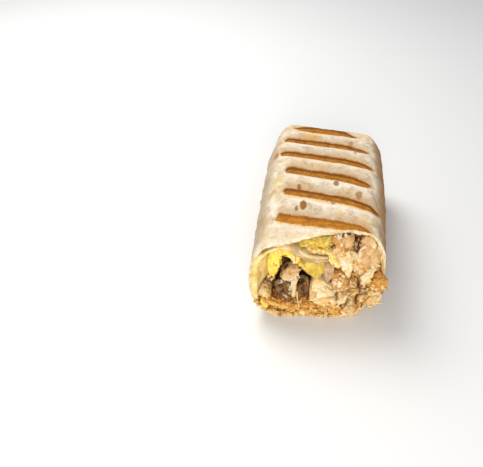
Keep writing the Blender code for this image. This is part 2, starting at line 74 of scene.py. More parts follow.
class Wire:
    """One socket of a tree, for use in sums."""

    def __init__(self, tree, socket=None):
        self.tree, self.socket = tree, socket

    def node(self, kind, settings=None, sockets=None, output=0):
        """Adds any node: its settings first, then a value or a Wire for each named socket."""
        made = self.tree.nodes.new(kind)
        for name, value in (settings or {}).items():
            if name == "stops":
                set_stops(made.color_ramp, value)
            else:
                setattr(made, name, value)
        for name, value in (sockets or {}).items():
            if isinstance(value, Wire):
                self.tree.links.new(value.socket, made.inputs[name])
            else:
                made.inputs[name].default_value = value
        return Wire(self.tree, made.outputs[output])

    def also(self, output):
        """Another output of the node behind this socket."""
        return Wire(self.tree, self.socket.node.outputs[output])

    def sum(self, operation, other, swap=False):
        first, second = (other, self) if swap else (self, other)
        kinds = {w.socket.type for w in (first, second) if isinstance(w, Wire)}
        if "RGBA" in kinds:
            sockets = {0: 1.0, 6: as_colour(first), 7: as_colour(second)}
            return self.node("ShaderNodeMix", {"data_type": "RGBA", "blend_type": operation}, sockets, 2)
        if "VECTOR" in kinds:
            sockets = {0: as_vector(first), 1: as_vector(second)}
            return self.node("ShaderNodeVectorMath", {"operation": operation}, sockets)
        return self.node("ShaderNodeMath", {"operation": operation}, {0: first, 1: second})

    def __add__(self, other):
        return self.sum("ADD", other)

    def __radd__(self, other):
        return self.sum("ADD", other, swap=True)

    def __sub__(self, other):
        return self.sum("SUBTRACT", other)

    def __rsub__(self, other):
        return self.sum("SUBTRACT", other, swap=True)

    def __mul__(self, other):
        return self.sum("MULTIPLY", other)

    def __rmul__(self, other):
        return self.sum("MULTIPLY", other, swap=True)

    def __truediv__(self, other):
        return self.sum("DIVIDE", other)

    def __neg__(self):
        return self.sum("MULTIPLY", -1.0)

    def dot(self, other):
        sockets = {0: self, 1: as_vector(other)}
        return self.node("ShaderNodeVectorMath", {"operation": "DOT_PRODUCT"}, sockets, "Value")

    def length(self):
        return self.node("ShaderNodeVectorMath", {"operation": "LENGTH"}, {0: self}, "Value")

    def maths(self, operation, other=0.0):
        """Any Math node on a number."""
        return self.node("ShaderNodeMath", {"operation": operation}, {0: self, 1: other})

    def smooth(self, start, end):
        """Rises from 0 at start to 1 at end, whichever is larger."""
        sockets = {"Value": self, "From Min": start, "From Max": end}
        return self.node("ShaderNodeMapRange", {"interpolation_type": "SMOOTHSTEP"}, sockets)

    def blend(self, low, high):
        """The colour low where this mask is 0, and high where it is 1."""
        sockets = {0: self, 6: as_colour(low), 7: as_colour(high)}
        return self.node("ShaderNodeMix", {"data_type": "RGBA"}, sockets, 2)

    def grain(self, size, seed=0.0, detail=2.0, rough=0.5):
        """Noise of about this size at this place, from 0 to 1."""
        sockets = {"Vector": self, "W": seed, "Scale": 1 / size, "Detail": detail, "Roughness": rough}
        return self.node("ShaderNodeTexNoise", {"noise_dimensions": "4D"}, sockets)


# %% [markdown]
# ## Camera, floor and light
# The photograph looks down on the cut end at 39 degrees with a short telephoto lens. The real light is a
# broad soft box above, behind and to the left, which leaves the right flank and the marks' far walls in half
# shade. A weaker one in front lights the cut, and a pale room fills the rest.

# %% Place the camera
CAMERA = Vector((-7.87, -265.32, 216.31)) * MM
YAW, PITCH = math.radians(7.604), math.radians(39.032)
LENS, SENSOR, PHOTO_WIDTH, PHOTO_HEIGHT = 45.69, 36.0, 483, 467
AHEAD = Vector((-math.sin(YAW) * math.cos(PITCH), math.cos(YAW) * math.cos(PITCH), -math.sin(PITCH)))
RIGHT = Vector((math.cos(YAW), math.sin(YAW), 0))
UP = RIGHT.cross(AHEAD)

lens = bpy.data.cameras.new("camera")
lens.lens, lens.sensor_width, lens.clip_start = LENS, SENSOR, 0.01
camera = bpy.data.objects.new("camera", lens)
camera.location = CAMERA
camera.rotation_euler = AHEAD.to_track_quat("-Z", "Y").to_euler()
bpy.context.collection.objects.link(camera)
bpy.context.scene.camera = camera
bpy.context.scene.view_settings.view_transform = "Standard"
print("camera at, mm:", [round(c / MM, 1) for c in CAMERA])


def seen(px, py):
    """The direction in which the camera sees a pixel of the photograph."""
    focal = PHOTO_WIDTH * LENS / SENSOR
    right = (px - PHOTO_WIDTH / 2) / focal
    down = (py - PHOTO_HEIGHT / 2) / focal
    return (AHEAD + right * RIGHT - down * UP).normalized()


# %% Colours and lamps
LOOKED_AT = Vector((0, 0, 0.02))


def tone(red, green, blue):
    """A colour as an eye reads it on a screen, from 0 to 255, made linear for the shader."""
    linear = [((c / 255 + 0.055) / 1.055) ** 2.4 if c > 10 else c / 255 / 12.92 for c in (red, green, blue)]
    return (*linear, 1.0)


def add_light(name, place, size, power, colour):
    """A square soft lamp that looks at the wrap."""
    lamp = bpy.data.lights.new(name, "AREA")
    lamp.size = size
    lamp.energy = power
    lamp.color = colour
    light = bpy.data.objects.new(name, lamp)
    light.location = place
    light.rotation_euler = (LOOKED_AT - Vector(place)).to_track_quat("-Z", "Y").to_euler()
    bpy.context.collection.objects.link(light)


# %% Lay the floor and hang the lights
FLOOR_REACH, FLOOR_COLOUR, FLOOR_ROUGHNESS = 3, (0.88, 0.88, 0.88, 1), 0.5
ROOM_COLOUR, ROOM_STRENGTH = (0.93, 0.96, 1.0, 1), 0.34
# Each lamp: its place and width in metres, its power in watts and its colour
LAMPS = {
    "key_light": ((-0.26, 0.24, 0.48), 0.34, 2.8, (1.0, 0.985, 0.955)),
    "front_light": ((0.02, -0.55, 0.26), 0.22, 2.1, (1.0, 0.975, 0.925)),
}
corners = [(i * FLOOR_REACH, j * FLOOR_REACH, 0) for i, j in ((-1, -1), (1, -1), (1, 1), (-1, 1))]
floor_mesh = bpy.data.meshes.new("floor")
floor_mesh.from_pydata(corners, [], [(0, 1, 2, 3)])
floor = bpy.data.objects.new("floor", floor_mesh)
bpy.context.collection.objects.link(floor)
floor_finish = bpy.data.materials.new("pale_floor")
floor_finish.use_nodes = True
floor_shader = floor_finish.node_tree.nodes["Principled BSDF"]
floor_shader.inputs["Base Color"].default_value = FLOOR_COLOUR
floor_shader.inputs["Roughness"].default_value = FLOOR_ROUGHNESS
floor_mesh.materials.append(floor_finish)

room = bpy.data.worlds.new("room")
room.use_nodes = True
room.node_tree.nodes["Background"].inputs["Color"].default_value = ROOM_COLOUR
room.node_tree.nodes["Background"].inputs["Strength"].default_value = ROOM_STRENGTH
bpy.context.scene.world = room
for name, lamp in LAMPS.items():
    add_light(name, *lamp)
print("floor and", len(LAMPS), "soft lamps are placed")


# %% [markdown]
# ## The form of the roll
# The tortilla's outline is a rounded block that leans a little to the right, flat where it lies on the table.
# These are the same rules and sizes as in the CAD model, so that a finer skin over them keeps its form.

# %% Sizes of the roll
WIDTH = 64.5 * MM
# How far the sides draw in: right and left at the cut, and left at the closed end
FRONT_RIGHT, FRONT_LEFT, BACK_LEFT = 1.9 * MM, 0.1 * MM, 2.6 * MM
# Heights of the crown and of the widest line
CROWN, WAIST = 46.4 * MM, 21 * MM
# The sheet's thickness, and its thickness at the cut
SHEET, RIM_SHEET = 1.9 * MM, 1.0 * MM
# Height of the marks' floors along the roll, as (y, z) in mm
CROWN_LINE = [(-62, 43.8), (-42, 44.2), (-24, 45.9), (-7, 46.3),
              (10, 45.5), (27, 43.6), (44, 41.6), (60, 41.6)]
# How far the grill pressed the round top down, and how softly the flat top runs into the shoulders
PRESSED, PRESS_BLEND = 4.6 * MM, 0.8 * MM
# At the cut the top leans up to the right and sags over the pocket
TILT_FRONT, DROOP = 0.09, 2.2 * MM
# Powers of the rounded outline: 2 is a circle's, and more is squarer
SHOULDER_POWER, SIDE_POWER, TOP_POWER, BASE_POWER = 2.7, 2.9, 2.7, 2.7
BASE_SAG = 1.8 * MM
# The closed end: where it starts, how deep it turns, how far it draws in, and the step of its tucked flap
TURN_START, TURN_DEPTH, TURN_INSET, TUCK_STEP = 44.5 * MM, 11.4 * MM, 12 * MM, 1.3 * MM
# The flap's edge: how steeply it runs, how high it waves and over what length
TUCK_SLOPE, TUCK_WAVE, TUCK_WAVE_LENGTH = 0.35, 5 * MM, 14 * MM
# The cut: its place at the left foot, its slant to the right and upwards, and how ragged it is
CUT_Y, CUT_SKEW, CUT_LEAN, CUT_RAGGED = -62.1 * MM, 0.098, 0.13, 0.7 * MM
# Where the edge is torn back, in mm: place in the section, reach and depth
TEARS = [(1, 46, 9, 2.2), (16, 46, 9, 2.2), (29, 8, 10, 6.0), (33, 32, 9, 1.2)]
# How softly the rows of points turn from the cut's slant to the ribs' slant, and the ribs' slant
RIM_BLEND, RIB_SKEW = 1.6 * MM, -0.15
print("roll, mm:", round(WIDTH / MM, 1), "wide,", round(CROWN / MM, 1), "high at the marks")


# %% Sums that shape things
def smooth_between(start, end, value):
    """Rises from 0 at start to 1 at end, whichever is larger."""
    share = min(1.0, max(0.0, (value - start) / (end - start)))
    return share * share * (3 - 2 * share)


def signed_power(value, power):
    return math.copysign(abs(value) ** power, value)


def wobble(x, y, z, size):
    """Noise of about this size at a place, from -1 to 1."""
    return noise.noise(Vector((x, y, z)) / size)


# %% The outline at any station
def crown_height(y):
    for (y0, z0), (y1, z1) in zip(CROWN_LINE, CROWN_LINE[1:]):
        if y <= y1 * MM:
            break
    share = (y / MM - y0) / (y1 - y0)
    return (z0 + (z1 - z0) * (0.5 * share + 0.5 * smooth_between(0, 1, share))) * MM


def tilt(y):
    return TILT_FRONT * smooth_between(-20 * MM, -53 * MM, y)


def droop(x, y):
    """How far the top sags over the empty pocket at the left of the cut."""
    return DROOP * smooth_between(-3 * MM, -21 * MM, x) * smooth_between(-34 * MM, -54 * MM, y)


def section_point(angle, y, inset):
    """(x, z) of the roll's outline, drawn in by inset all round. The grill pressed its top flat."""
    across, up = math.cos(angle), math.sin(angle)
    drawn = (FRONT_RIGHT if across > 0 else FRONT_LEFT) * smooth_between(0, -46 * MM, y)
    if across < 0:
        drawn += BACK_LEFT * smooth_between(24 * MM, 52 * MM, y)
    power = SHOULDER_POWER if up >= 0 else SIDE_POWER
    x = (WIDTH / 2 - inset - drawn) * signed_power(across, 2 / power)
    if up >= 0:
        flat = crown_height(min(y, TURN_START)) - inset + tilt(y) * x - droop(x, y)
        free = WAIST + (flat + PRESSED - WAIST) * abs(up) ** (2 / TOP_POWER)
        return x, (free + flat - math.sqrt((free - flat) ** 2 + 4 * PRESS_BLEND**2)) / 2
    return x, max(inset, WAIST - (WAIST - inset + BASE_SAG) * abs(up) ** (2 / BASE_POWER))


def even_angles(count):
    """Angles that stand at even steps along the outline."""
    steps = 4000
    fine = [2 * math.pi * i / steps - math.pi / 2 for i in range(steps + 1)]
    outline = [section_point(a, 0.0, 0.0) for a in fine]
    along = [0.0]
    for (x0, z0), (x1, z1) in zip(outline, outline[1:]):
        along.append(along[-1] + math.hypot(x1 - x0, z1 - z0))
    angles, reached = [], 0
    for i in range(count):
        while along[reached] < along[-1] * i / count:
            reached += 1
        angles.append(fine[reached])
    return angles


print("the middle section's left and right, mm:",
      [round(section_point(a, 0.0, 0.0)[0] / MM, 1) for a in (math.pi, 0.0)])


# %% The cut and the closed end
def cut_plane(x, z):
    return CUT_Y + CUT_SKEW * (x + WIDTH / 2) + CUT_LEAN * z


TOP_FRONT = cut_plane(0.0, CROWN)


def sheet_at(station):
    """Thickness of the sheet, which the knife squeezed at the cut."""
    return RIM_SHEET + (SHEET - RIM_SHEET) * smooth_between(0.0, 0.08, station)


def rim_y(angle):
    x, z = section_point(angle, CUT_Y, 0.0)
    ragged = noise.noise(Vector((3 * math.cos(angle), 3 * math.sin(angle), 4.7)))
    back = CUT_RAGGED * (1 + ragged) * smooth_between(0.5 * MM, 4 * MM, z)
    for tear_x, tear_z, reach, depth in TEARS:
        back += depth * MM * math.exp(-((x / MM - tear_x) ** 2 + (z / MM - tear_z) ** 2) / reach**2)
    frayed = abs(wobble(x, 0.0, z, 2.2 * MM)) + 0.6 * abs(wobble(x, 9.0, z, 0.9 * MM))
    return cut_plane(x, z) + back + 0.9 * MM * frayed * smooth_between(0.5 * MM, 4 * MM, z)


def row_y(angle, edge, barrel):
    if barrel <= 0.0:
        return edge
    x = section_point(angle, TOP_FRONT, 0.0)[0]
    ahead = TOP_FRONT + (TURN_START - TOP_FRONT) * barrel + RIB_SKEW * x - edge
    return edge + (ahead + math.sqrt(ahead**2 + 4 * RIM_BLEND**2)) / 2


def tuck_share(x, z):
    """How much of the tucked flap's step a place on the closed end has, from 0 to 1."""
    edge = (z - WAIST) - TUCK_SLOPE * x + TUCK_WAVE * math.sin(x / TUCK_WAVE_LENGTH)
    return smooth_between(-1.5 * MM, 1.5 * MM, edge)


def skin_place(angle, edge, station, inset):
    """A place on the sheet. Stations run from 0 at the cut to 1 at the turn and 3 at the end's middle."""
    turn = min(max(station - 1, 0.0), 1.0) * math.pi / 2
    face = min(max(station - 2, 0.0), 1.0)
    y = row_y(angle, edge, min(station, 1.0))
    x, z = section_point(angle, y, inset + TURN_INSET * (1 - math.cos(turn)))
    y += (TURN_DEPTH - inset) * math.sin(turn) - RIB_SKEW * section_point(angle, TOP_FRONT, 0.0)[0] * face
    return Vector((x * (1 - face), y, WAIST + (z - WAIST) * (1 - face)))


print("the cut's top is at y, mm:", round(TOP_FRONT / MM, 1))

# %% [markdown]
# ## The tortilla
# A tortilla is a soft sheet under 2 mm thick that takes the print of whatever presses on it. Its skin
# bubbles, its flanks crease where it was rolled, and its cut edge frays. The outer turn is a cup of rings
# that follow the outline, and the small creases and bubbles are pushed into the rings' points, along the
# skin's own slope. A cloth simulation would crease as well, but it wouldn't keep the CAD model's form.

# %% Creases and bubbles
OUTER_AROUND, BARREL_ROWS, TURN_ROWS, FACE_ROWS = 288, 178, 26, 15
INNER_ROWS = 26
# Heights of the relief, in mm
BUBBLES, FINE_BUBBLES, CREASES, FOLDS, PLEATS = 0.26, 0.15, 0.42, 0.42, 0.35


def crease_depth(place):
    """How far the skin stands out, in metres: bubbles all over, and slanting creases down the flanks."""
    x, y, z = place
    flank = smooth_between(36 * MM, 27 * MM, z) * smooth_between(2 * MM, 8 * MM, z)
    slant = wobble(0.0, y + 0.9 * z, z * 0.16 + x, 7 * MM)
    fold = 1 - abs(wobble(3.0, y + 1.3 * z, z * 0.2, 10 * MM)) * 2
    end = smooth_between(38 * MM, 50 * MM, y)
    pleat = wobble(math.atan2(z - WAIST, x) * 16 * MM, y * 0.2, 7.0, 5 * MM)
    pleat *= smooth_between(4 * MM, 16 * MM, math.hypot(x, z - WAIST))
    bubbles = BUBBLES * wobble(x, y, z, 6 * MM) + FINE_BUBBLES * wobble(x, y, z + 5, 2.2 * MM)
    creases = flank * (CREASES * slant + FOLDS * max(0.0, fold) ** 3 - 0.15)
    return MM * (bubbles + creases + PLEATS * end * pleat)


def add_object(name, points, faces, finish=None):
    mesh = bpy.data.meshes.new(name)
    mesh.from_pydata([tuple(p) for p in points], [], faces)
    if finish:
        mesh.materials.append(finish)
    made = bpy.data.objects.new(name, mesh)
    bpy.context.collection.objects.link(made)
    return made


def join_rings(rings, first=0):
    size = len(rings[0])
    faces = []
    for row in range(len(rings) - 1):
        for i in range(size):
            a, b = first + row * size + i, first + row * size + (i + 1) % size
            faces.append((a, b, b + size, a + size))
    return faces


# %% Build the outer turn as rings of points
angles = even_angles(OUTER_AROUND)
edges = [rim_y(a) for a in angles]
outer_stations = [i / BARREL_ROWS for i in range(BARREL_ROWS)] + [1 + i / TURN_ROWS for i in range(TURN_ROWS)]
outer_stations += [2 + i / FACE_ROWS for i in range(FACE_ROWS)]
outside = []
for s in outer_stations:
    outside.append([skin_place(a, e, s, 0.0) for a, e in zip(angles, edges)])
crown_share = [smooth_between(0.45, 0.85, math.sin(a)) for a in angles]
for row, s in enumerate(outer_stations):
    turn = min(max(s - 1, 0.0), 1.0) * math.pi / 2
    for i, place in enumerate(outside[row]):
        before, after = outside[row][i - 1], outside[row][(i + 1) % OUTER_AROUND]
        out = Vector((after.z - before.z, 0, before.x - after.x)).normalized() if s < 2 else Vector((0, 1, 0))
        out = (out * math.cos(turn) + Vector((0, math.sin(turn), 0))).normalized() if s < 2 else out
        off_table = smooth_between(0.2 * MM, 2.5 * MM, place.z)
        place += out * crease_depth(place) * off_table
        place.y -= TUCK_STEP * tuck_share(place.x, place.z) * math.sin(turn)
        place.z = max(0.0, place.z)
print("outer rows:", len(outside), "points round each:", OUTER_AROUND)

# %% Build the frayed edge and the inside
inner_stations = [0.0, 0.01, 0.025] + [i / INNER_ROWS for i in range(1, INNER_ROWS)]
inner_stations += [1.0, 1.4, 1.8, 2.0, 2.5]
# Each ring of the torn edge: its share of the sheet's thickness and how far it stands ahead, in mm
EDGE_STEPS = [(0.28, -0.25), (0.62, 0.15), (0.85, -0.1)]
# The inside stands this much further off at the closed end, so that it never meets the flap's step
END_GAP = 0.5 * MM


def edge_ring(share, ahead):
    ring = []
    for a, e in zip(angles, edges):
        place = skin_place(a, e, 0.0, RIM_SHEET * share)
        layers = 0.45 * wobble(place.x, share * 40, place.z, 1.4 * MM)
        place.y += MM * (ahead + layers) * smooth_between(0.3 * MM, 3 * MM, place.z)
        ring.append(place)
    return ring


inside = []
for s in inner_stations:
    ring = [skin_place(a, e, s, sheet_at(s)) for a, e in zip(angles, edges)]
    turn = min(max(s - 1, 0.0), 1.0) * math.pi / 2
    for place in ring:
        place.y -= (TUCK_STEP * tuck_share(place.x, place.z) + END_GAP) * math.sin(turn)
        place += Vector((0, 0, 1)) * 0.15 * MM * wobble(place.x, place.y, place.z, 4 * MM)
    inside.append(ring)
rings = inside[::-1] + [edge_ring(*step) for step in EDGE_STEPS[::-1]] + outside
points = [p for ring in rings for p in ring]
faces = join_rings(rings)
points.append(skin_place(0.0, edges[0], 3.0, SHEET + TUCK_STEP + END_GAP))
points.append(skin_place(0.0, edges[0], 3.0, 0.5 * TUCK_STEP))
last = (len(rings) - 1) * OUTER_AROUND
for i in range(OUTER_AROUND):
    after = (i + 1) % OUTER_AROUND
    faces.append((len(points) - 2, after, i))
    faces.append((len(points) - 1, last + i, last + after))
crowns, insides, cuts = [], [], []
for row in range(len(rings)):
    outer = row - len(inside) - len(EDGE_STEPS)
    s = outer_stations[outer] if outer >= 0 else 0.0
    turn = min(max(s - 1, 0.0), 1.0) * math.pi / 2
    crowns += [c * math.cos(turn) * (outer >= 0) for c in crown_share]
    insides += [1.0 if row < len(inside) else 0.0] * OUTER_AROUND
    cuts += [1.0 if len(inside) - 1 <= row <= len(inside) + len(EDGE_STEPS) else 0.0] * OUTER_AROUND
print("tortilla points:", len(points), "faces:", len(faces))


# %% [markdown]
# ## The inner turn
# Inside the outer turn lies the sheet's other edge. It lifts off the filling at the cut as a thin pale
# tongue, runs over the left of the filling and down beside it. A strip swept back from the cut along a smooth
# curve gives that in one go, and its front is torn in small steps. Both turns are one sheet, so they share
# one object.

# %% A smooth strip through given points
def catmull_rom(points, steps):
    """A smooth curve through the points, with this many steps between two of them."""
    count, made = len(points), []
    for i in range(count - 1):
        near = [points[min(count - 1, max(0, i + k))] for k in (-1, 0, 1, 2)]
        for step in range(steps):
            t = step / steps
            weights = (-t / 2 + t * t - t**3 / 2, 1 - 2.5 * t * t + 1.5 * t**3,
                       t / 2 + 2 * t * t - 1.5 * t**3, (t**3 - t * t) / 2)
            sizes = range(len(near[0]))
            made.append(tuple(sum(w * p[axis] for w, p in zip(weights, near)) for axis in sizes))
    return made + [points[-1]]


def fitted(x, z, y):
    """A place in the middle section moved to the section at y, as the roll's top is lower there."""
    share = max(0.0, (z - WAIST) / (CROWN - WAIST))
    return x, z + share * (crown_height(y) - CROWN + tilt(y) * x - droop(x, y))


# Each place in the section and the thickness there, as (x, z, thickness) in mm
INNER_TURN = [(3.8, 33.9, 1.0), (-0.8, 33.6, 2.4), (-5.0, 35.0, 3.6), (-9.0, 38.4, 4.0), (-13.0, 41.4, 3.2),
              (-18.0, 42.6, 2.0), (-23.2, 40.4, 1.4), (-27.2, 35.2, 1.4), (-28.9, 28.0, 1.4),
              (-28.8, 21.0, 1.4), (-28.6, 15.0, 1.4), (-28.5, 11.5, 1.4), (-28.4, 9.0, 1.4)]
# Behind the cut its left side draws in by FLARE over FLARE_DEPTH, and it ends at TURN_BACK
FLARE, FLARE_DEPTH, TURN_BACK, TURN_STATIONS = 7 * MM, 15 * MM, 30 * MM, 40

# %% Build the inner turn
path = catmull_rom([(x * MM, z * MM, thick * MM) for x, z, thick in INNER_TURN], 9)
sides = ([], [])
for i, (x, z, thick) in enumerate(path):
    before, after = path[max(0, i - 1)], path[min(len(path) - 1, i + 1)]
    along = Vector((after[0] - before[0], after[1] - before[1])).normalized()
    # Its outer side leans on the outer turn, down to where the roll's foot rounds inwards
    pressed = 1.5 * MM * smooth_between(-23 * MM, -28 * MM, x) * smooth_between(8 * MM, 14 * MM, z)
    for side, sign in zip(sides, (-1, 1)):
        half = thick / 2 + (pressed if sign < 0 else 0.0)
        side.append((x - sign * along.y * half, z + sign * along.x * half))
outline = sides[0] + sides[1][::-1]
turn_rings = []
for row in range(TURN_STATIONS):
    share = (row / (TURN_STATIONS - 1)) ** 1.3
    ring = []
    for i, (x, z) in enumerate(outline):
        frayed = 0.5 * wobble(x, z, 3.0, 2.5 * MM) + 0.5 * wobble(x, z, 8.0, 0.9 * MM)
        ahead = 1.4 * smooth_between(-20 * MM, -12 * MM, x) * smooth_between(30 * MM, 33 * MM, z)
        front = cut_plane(x, z) + (0.55 + frayed - ahead) * MM
        y = front + (TURN_BACK - front) * share
        near_x, near_z = fitted(x, z, y)
        left = smooth_between(-13 * MM, -28 * MM, x) * smooth_between(9 * MM, 19 * MM, z)
        near_x += FLARE * left * smooth_between(0.0, FLARE_DEPTH, y - cut_plane(x, z))
        lift = 0.35 * MM * wobble(x, y, z, 5 * MM) + 0.18 * MM * wobble(x, y, z, 1.6 * MM)
        ring.append(Vector((near_x + lift * smooth_between(-20 * MM, -27 * MM, x), y, near_z + lift)))
    turn_rings.append(ring)
first, size = len(points), len(outline)
faces += join_rings(turn_rings, first)
last = first + (TURN_STATIONS - 1) * size
for i in range(size // 2 - 1):
    j = size - 1 - i
    faces.append((first + i, first + i + 1, first + j - 1, first + j))
    faces.append((last + i, last + j, last + j - 1, last + i + 1))
points += [p for ring in turn_rings for p in ring]
turn_count = len(points) - first
print("inner turn points:", turn_count)


# %% [markdown]
# ## Pressing the grill marks
# The grill's ridges stand at one pitch, slightly askew, and the tortilla puffs up between them. That is a
# rule in x and y, so Geometry Nodes press it: the tree finds each point's nearest ridge, lifts what lies
# between ridges, and keeps three numbers on the skin for the finish: how far away the nearest ridge is, on
# which side of it the point lies, and which ridge it is. Carving the marks by hand would give the same
# relief, but no number that a finish could read.

# %% A helper that starts a tree with named inputs
def new_tree(name, inputs):
    """A Geometry Nodes tree with one socket for each (label, kind), as Wires, and its output node."""
    tree = bpy.data.node_groups.new(name, "GeometryNodeTree")
    for way in ("INPUT", "OUTPUT"):
        tree.interface.new_socket("Geometry", in_out=way, socket_type="NodeSocketGeometry")
    for label, kind in inputs:
        tree.interface.new_socket(label, in_out="INPUT", socket_type="NodeSocket" + kind)
    given = tree.nodes.new("NodeGroupInput")
    return tree, {s.name: Wire(tree, s) for s in given.outputs if s.name}


def end_tree(tree, geometry):
    out = tree.nodes.new("NodeGroupOutput")
    tree.links.new(geometry.socket, out.inputs["Geometry"])


def run_tree(tree, obj, **values):
    """Runs a tree on an object with its inputs set, and keeps the result as a plain mesh."""
    step = obj.modifiers.new(tree.name, "NODES")
    step.node_group = tree
    for item in tree.interface.items_tree:
        label = item.name.replace(" ", "_").lower()
        if item.in_out == "INPUT" and label in values:
            step[item.identifier] = values.pop(label)
    if values:
        raise ValueError(f"{tree.name} has no input {sorted(values)}")
    bpy.context.view_layer.update()
    graph = bpy.context.evaluated_depsgraph_get()
    mesh = bpy.data.meshes.new_from_object(obj.evaluated_get(graph))
    obj.modifiers.clear()
    obj.data = mesh
    return obj


# %% The tree that presses the marks
press, given = new_tree("press_marks", [
    ("First Mark", "Float"), ("Pitch", "Float"), ("Skew", "Float"), ("Bend", "Float"), ("Count", "Int"),
    ("Left End", "Float"), ("Right End", "Float"), ("End Length", "Float"), ("Floor Half", "Float"),
    ("Edge Half", "Float"), ("Wall Share", "Float"), ("Puff", "Float"), ("Smear", "Float"),
    ("Material", "Material")])
place = given["Geometry"].node("GeometryNodeInputPosition")
x = place.node("ShaderNodeSeparateXYZ", sockets={0: place}, output="X")
y = place.node("ShaderNodeSeparateXYZ", sockets={0: place}, output="Y")
# The marks curve back where the sheet rolls off to the right
bent = given["Bend"] * x.smooth(5 * MM, 27 * MM)
along = (y + bent - given["First Mark"] - given["Skew"] * x) / given["Pitch"]
nearest = along.maths("ROUND").maths("MAXIMUM", 0.0).maths("MINIMUM", given["Count"] - 1.0)
off = (along - nearest) * given["Pitch"]
away = off.maths("ABSOLUTE")
left = x.smooth(given["Left End"] - given["End Length"], given["Left End"])
right = x.smooth(given["Right End"] + given["End Length"], given["Right End"])
wall = away.smooth(given["Floor Half"], given["Edge Half"])
pillow = away.smooth(given["Floor Half"], given["Pitch"] * 0.5)
pressed = left * right * (1 - given["Wall Share"] * wall - (1 - given["Wall Share"]) * pillow)
crown = place.node("GeometryNodeInputNamedAttribute", {"data_type": "FLOAT"}, {"Name": "crown"})
rise = given["Puff"] * crown * (1 - pressed)
lift = rise.node("ShaderNodeCombineXYZ", sockets={"Z": rise})
sockets = {"Geometry": given["Geometry"], "Offset": lift}
skin = given["Geometry"].node("GeometryNodeSetPosition", sockets=sockets)
# The first two marks are scorched more on their near side
burnt = off + given["Smear"] * nearest.smooth(2.0, 0.0)
told = {"away_mark": burnt.maths("ABSOLUTE") / MM, "far_side": burnt.smooth(-0.4 * MM, 0.4 * MM),
        "mark_number": nearest}
for label, value in told.items():
    sockets = {"Geometry": skin, "Name": label, "Value": value}
    skin = skin.node("GeometryNodeStoreNamedAttribute", {"data_type": "FLOAT", "domain": "POINT"}, sockets)
skin = skin.node("GeometryNodeSetShadeSmooth", sockets={"Geometry": skin})
sockets = {"Geometry": skin, "Material": given["Material"]}
end_tree(press, skin.node("GeometryNodeSetMaterial", sockets=sockets))
print("press_marks has", len(press.nodes), "nodes")


# %% [markdown]
# ## The tortilla's finish
# Cooked flour dough is cream, with warmer and greyer clouds, white flour dust, tan freckles and a few brown
# blisters. Under a ridge it scorches from a gold halo to a brown band that is darkest along its far edge,
# partly scorch and partly painted shade for the groove's far wall. Just beyond each mark the pillow gets
# painted shade, and just before it a painted highlight. The right flank is browned and darkened with painted
# shade, and the left flank is greyed with painted shade. The cut edge is paler and the inside is stained by
# the sauce. Noise on
# Object coordinates gives the clouds, and the numbers that the tree kept on the skin say where each mark
# lies.
# A painted picture could do it too, but it would need a file beside the script.

# %% A helper that makes a finish
def finish(name, paint, **steady):
    """A material. What varies comes from paint(place), and every other socket holds the value given."""
    made = bpy.data.materials.new(name)
    made.use_nodes = True
    shader = made.node_tree.nodes["Principled BSDF"]
    for socket, value in steady.items():
        shader.inputs[socket.replace("_", " ")].default_value = value
    place = Wire(made.node_tree).node("ShaderNodeTexCoord", output="Object")
    for socket, wire in paint(place).items():
        made.node_tree.links.new(wire.socket, shader.inputs[socket])
    return made


def kept(place, name):
    """A number kept on the skin."""
    return place.node("ShaderNodeAttribute", {"attribute_name": name}, output="Fac")


def relief(place, height, depth):
    """A bump whose height is in shares of depth, in metres."""
    return place.node("ShaderNodeBump", sockets={"Height": height * depth, "Distance": 1.0, "Strength": 1.0})


# %% Where the blisters, stains and marks are
# Each blister: its place in mm, its reach in mm and its strength
BLISTERS = [
    ((-9.9, -32.5, 47), 1.8, 1.0), ((-12.9, -34.6, 46.6), 0.9, 0.9), ((5.1, -14.6, 47.6), 1.6, 0.9),
    ((16.0, -22.2, 46.8), 1.8, 0.7), ((4.0, -28.6, 47), 1.5, 0.6), ((-12.7, -18.8, 47), 1.1, 0.9),
    ((-26.5, 15.4, 43), 1.6, 0.8), ((12.8, 30.0, 44.6), 1.6, 0.6), ((14.7, 17.6, 45.6), 1.2, 0.6),
    ((-31.9, -12.0, 29), 1.5, 0.9), ((30.6, -36.0, 33), 1.3, 0.9), ((-16, -52.5, 43.5), 0.9, 0.6),
    ((24.0, 44.0, 28), 1.1, 0.6), ((-12.0, 56.0, 30), 1.0, 0.6), ((31.0, 8.0, 24), 1.0, 0.6),
    ((-31.5, 24, 22), 1.0, 0.6)]
# Each stain: its place in mm, its reach in mm, its strength and its colour
STAINS = [
    ((-22.5, -13.5, 44.5), 4.5, 0.75, (214, 188, 106)), ((-9, 36, 44.5), 8, 0.8, (232, 180, 92)),
    ((-16, 33, 44), 3, 0.45, (226, 170, 84)), ((-17, -53, 42), 6, 0.3, (218, 164, 104)),
    ((-2, 2, 47), 9, 0.35, (230, 190, 128)), ((17, -46, 45), 5, 0.6, (222, 154, 70)),
    ((8, 12, 47), 8, 0.3, (226, 190, 132)), ((-29, -44, 22), 9, 0.5, (232, 188, 112))]
# Each mark's left and right end and half its width, in mm, from the cut to the closed end
MARKS = [(-22.2, 21.5, 3.9), (-20.4, 26.8, 3.3), (-20.9, 23.4, 3.1), (-24.7, 24.7, 2.9),
         (-23.5, 22.6, 2.8), (-19.4, 18.2, 4.6)]
print(len(BLISTERS), "blisters,", len(STAINS), "stains,", len(MARKS), "marks")


# %% Blisters and scorched marks
def metres(spot):
    """A place given in mm."""
    return tuple(c * MM for c in spot)


def most(masks):
    """The strongest of several masks."""
    strongest = masks[0]
    for mask in masks[1:]:
        strongest = strongest.maths("MAXIMUM", mask)
    return strongest


def blistered(place, ragged):
    """How much of a blister lies at a place. Blisters are longer along the roll than across it."""
    masks = []
    for spot, reach, strength in BLISTERS:
        away = ((place - metres(spot)) * (1000.0, 620.0, 300.0)).length() + ragged
        masks.append(away.smooth(reach * 1.10, reach * 0.70) * strength)
    return most(masks)


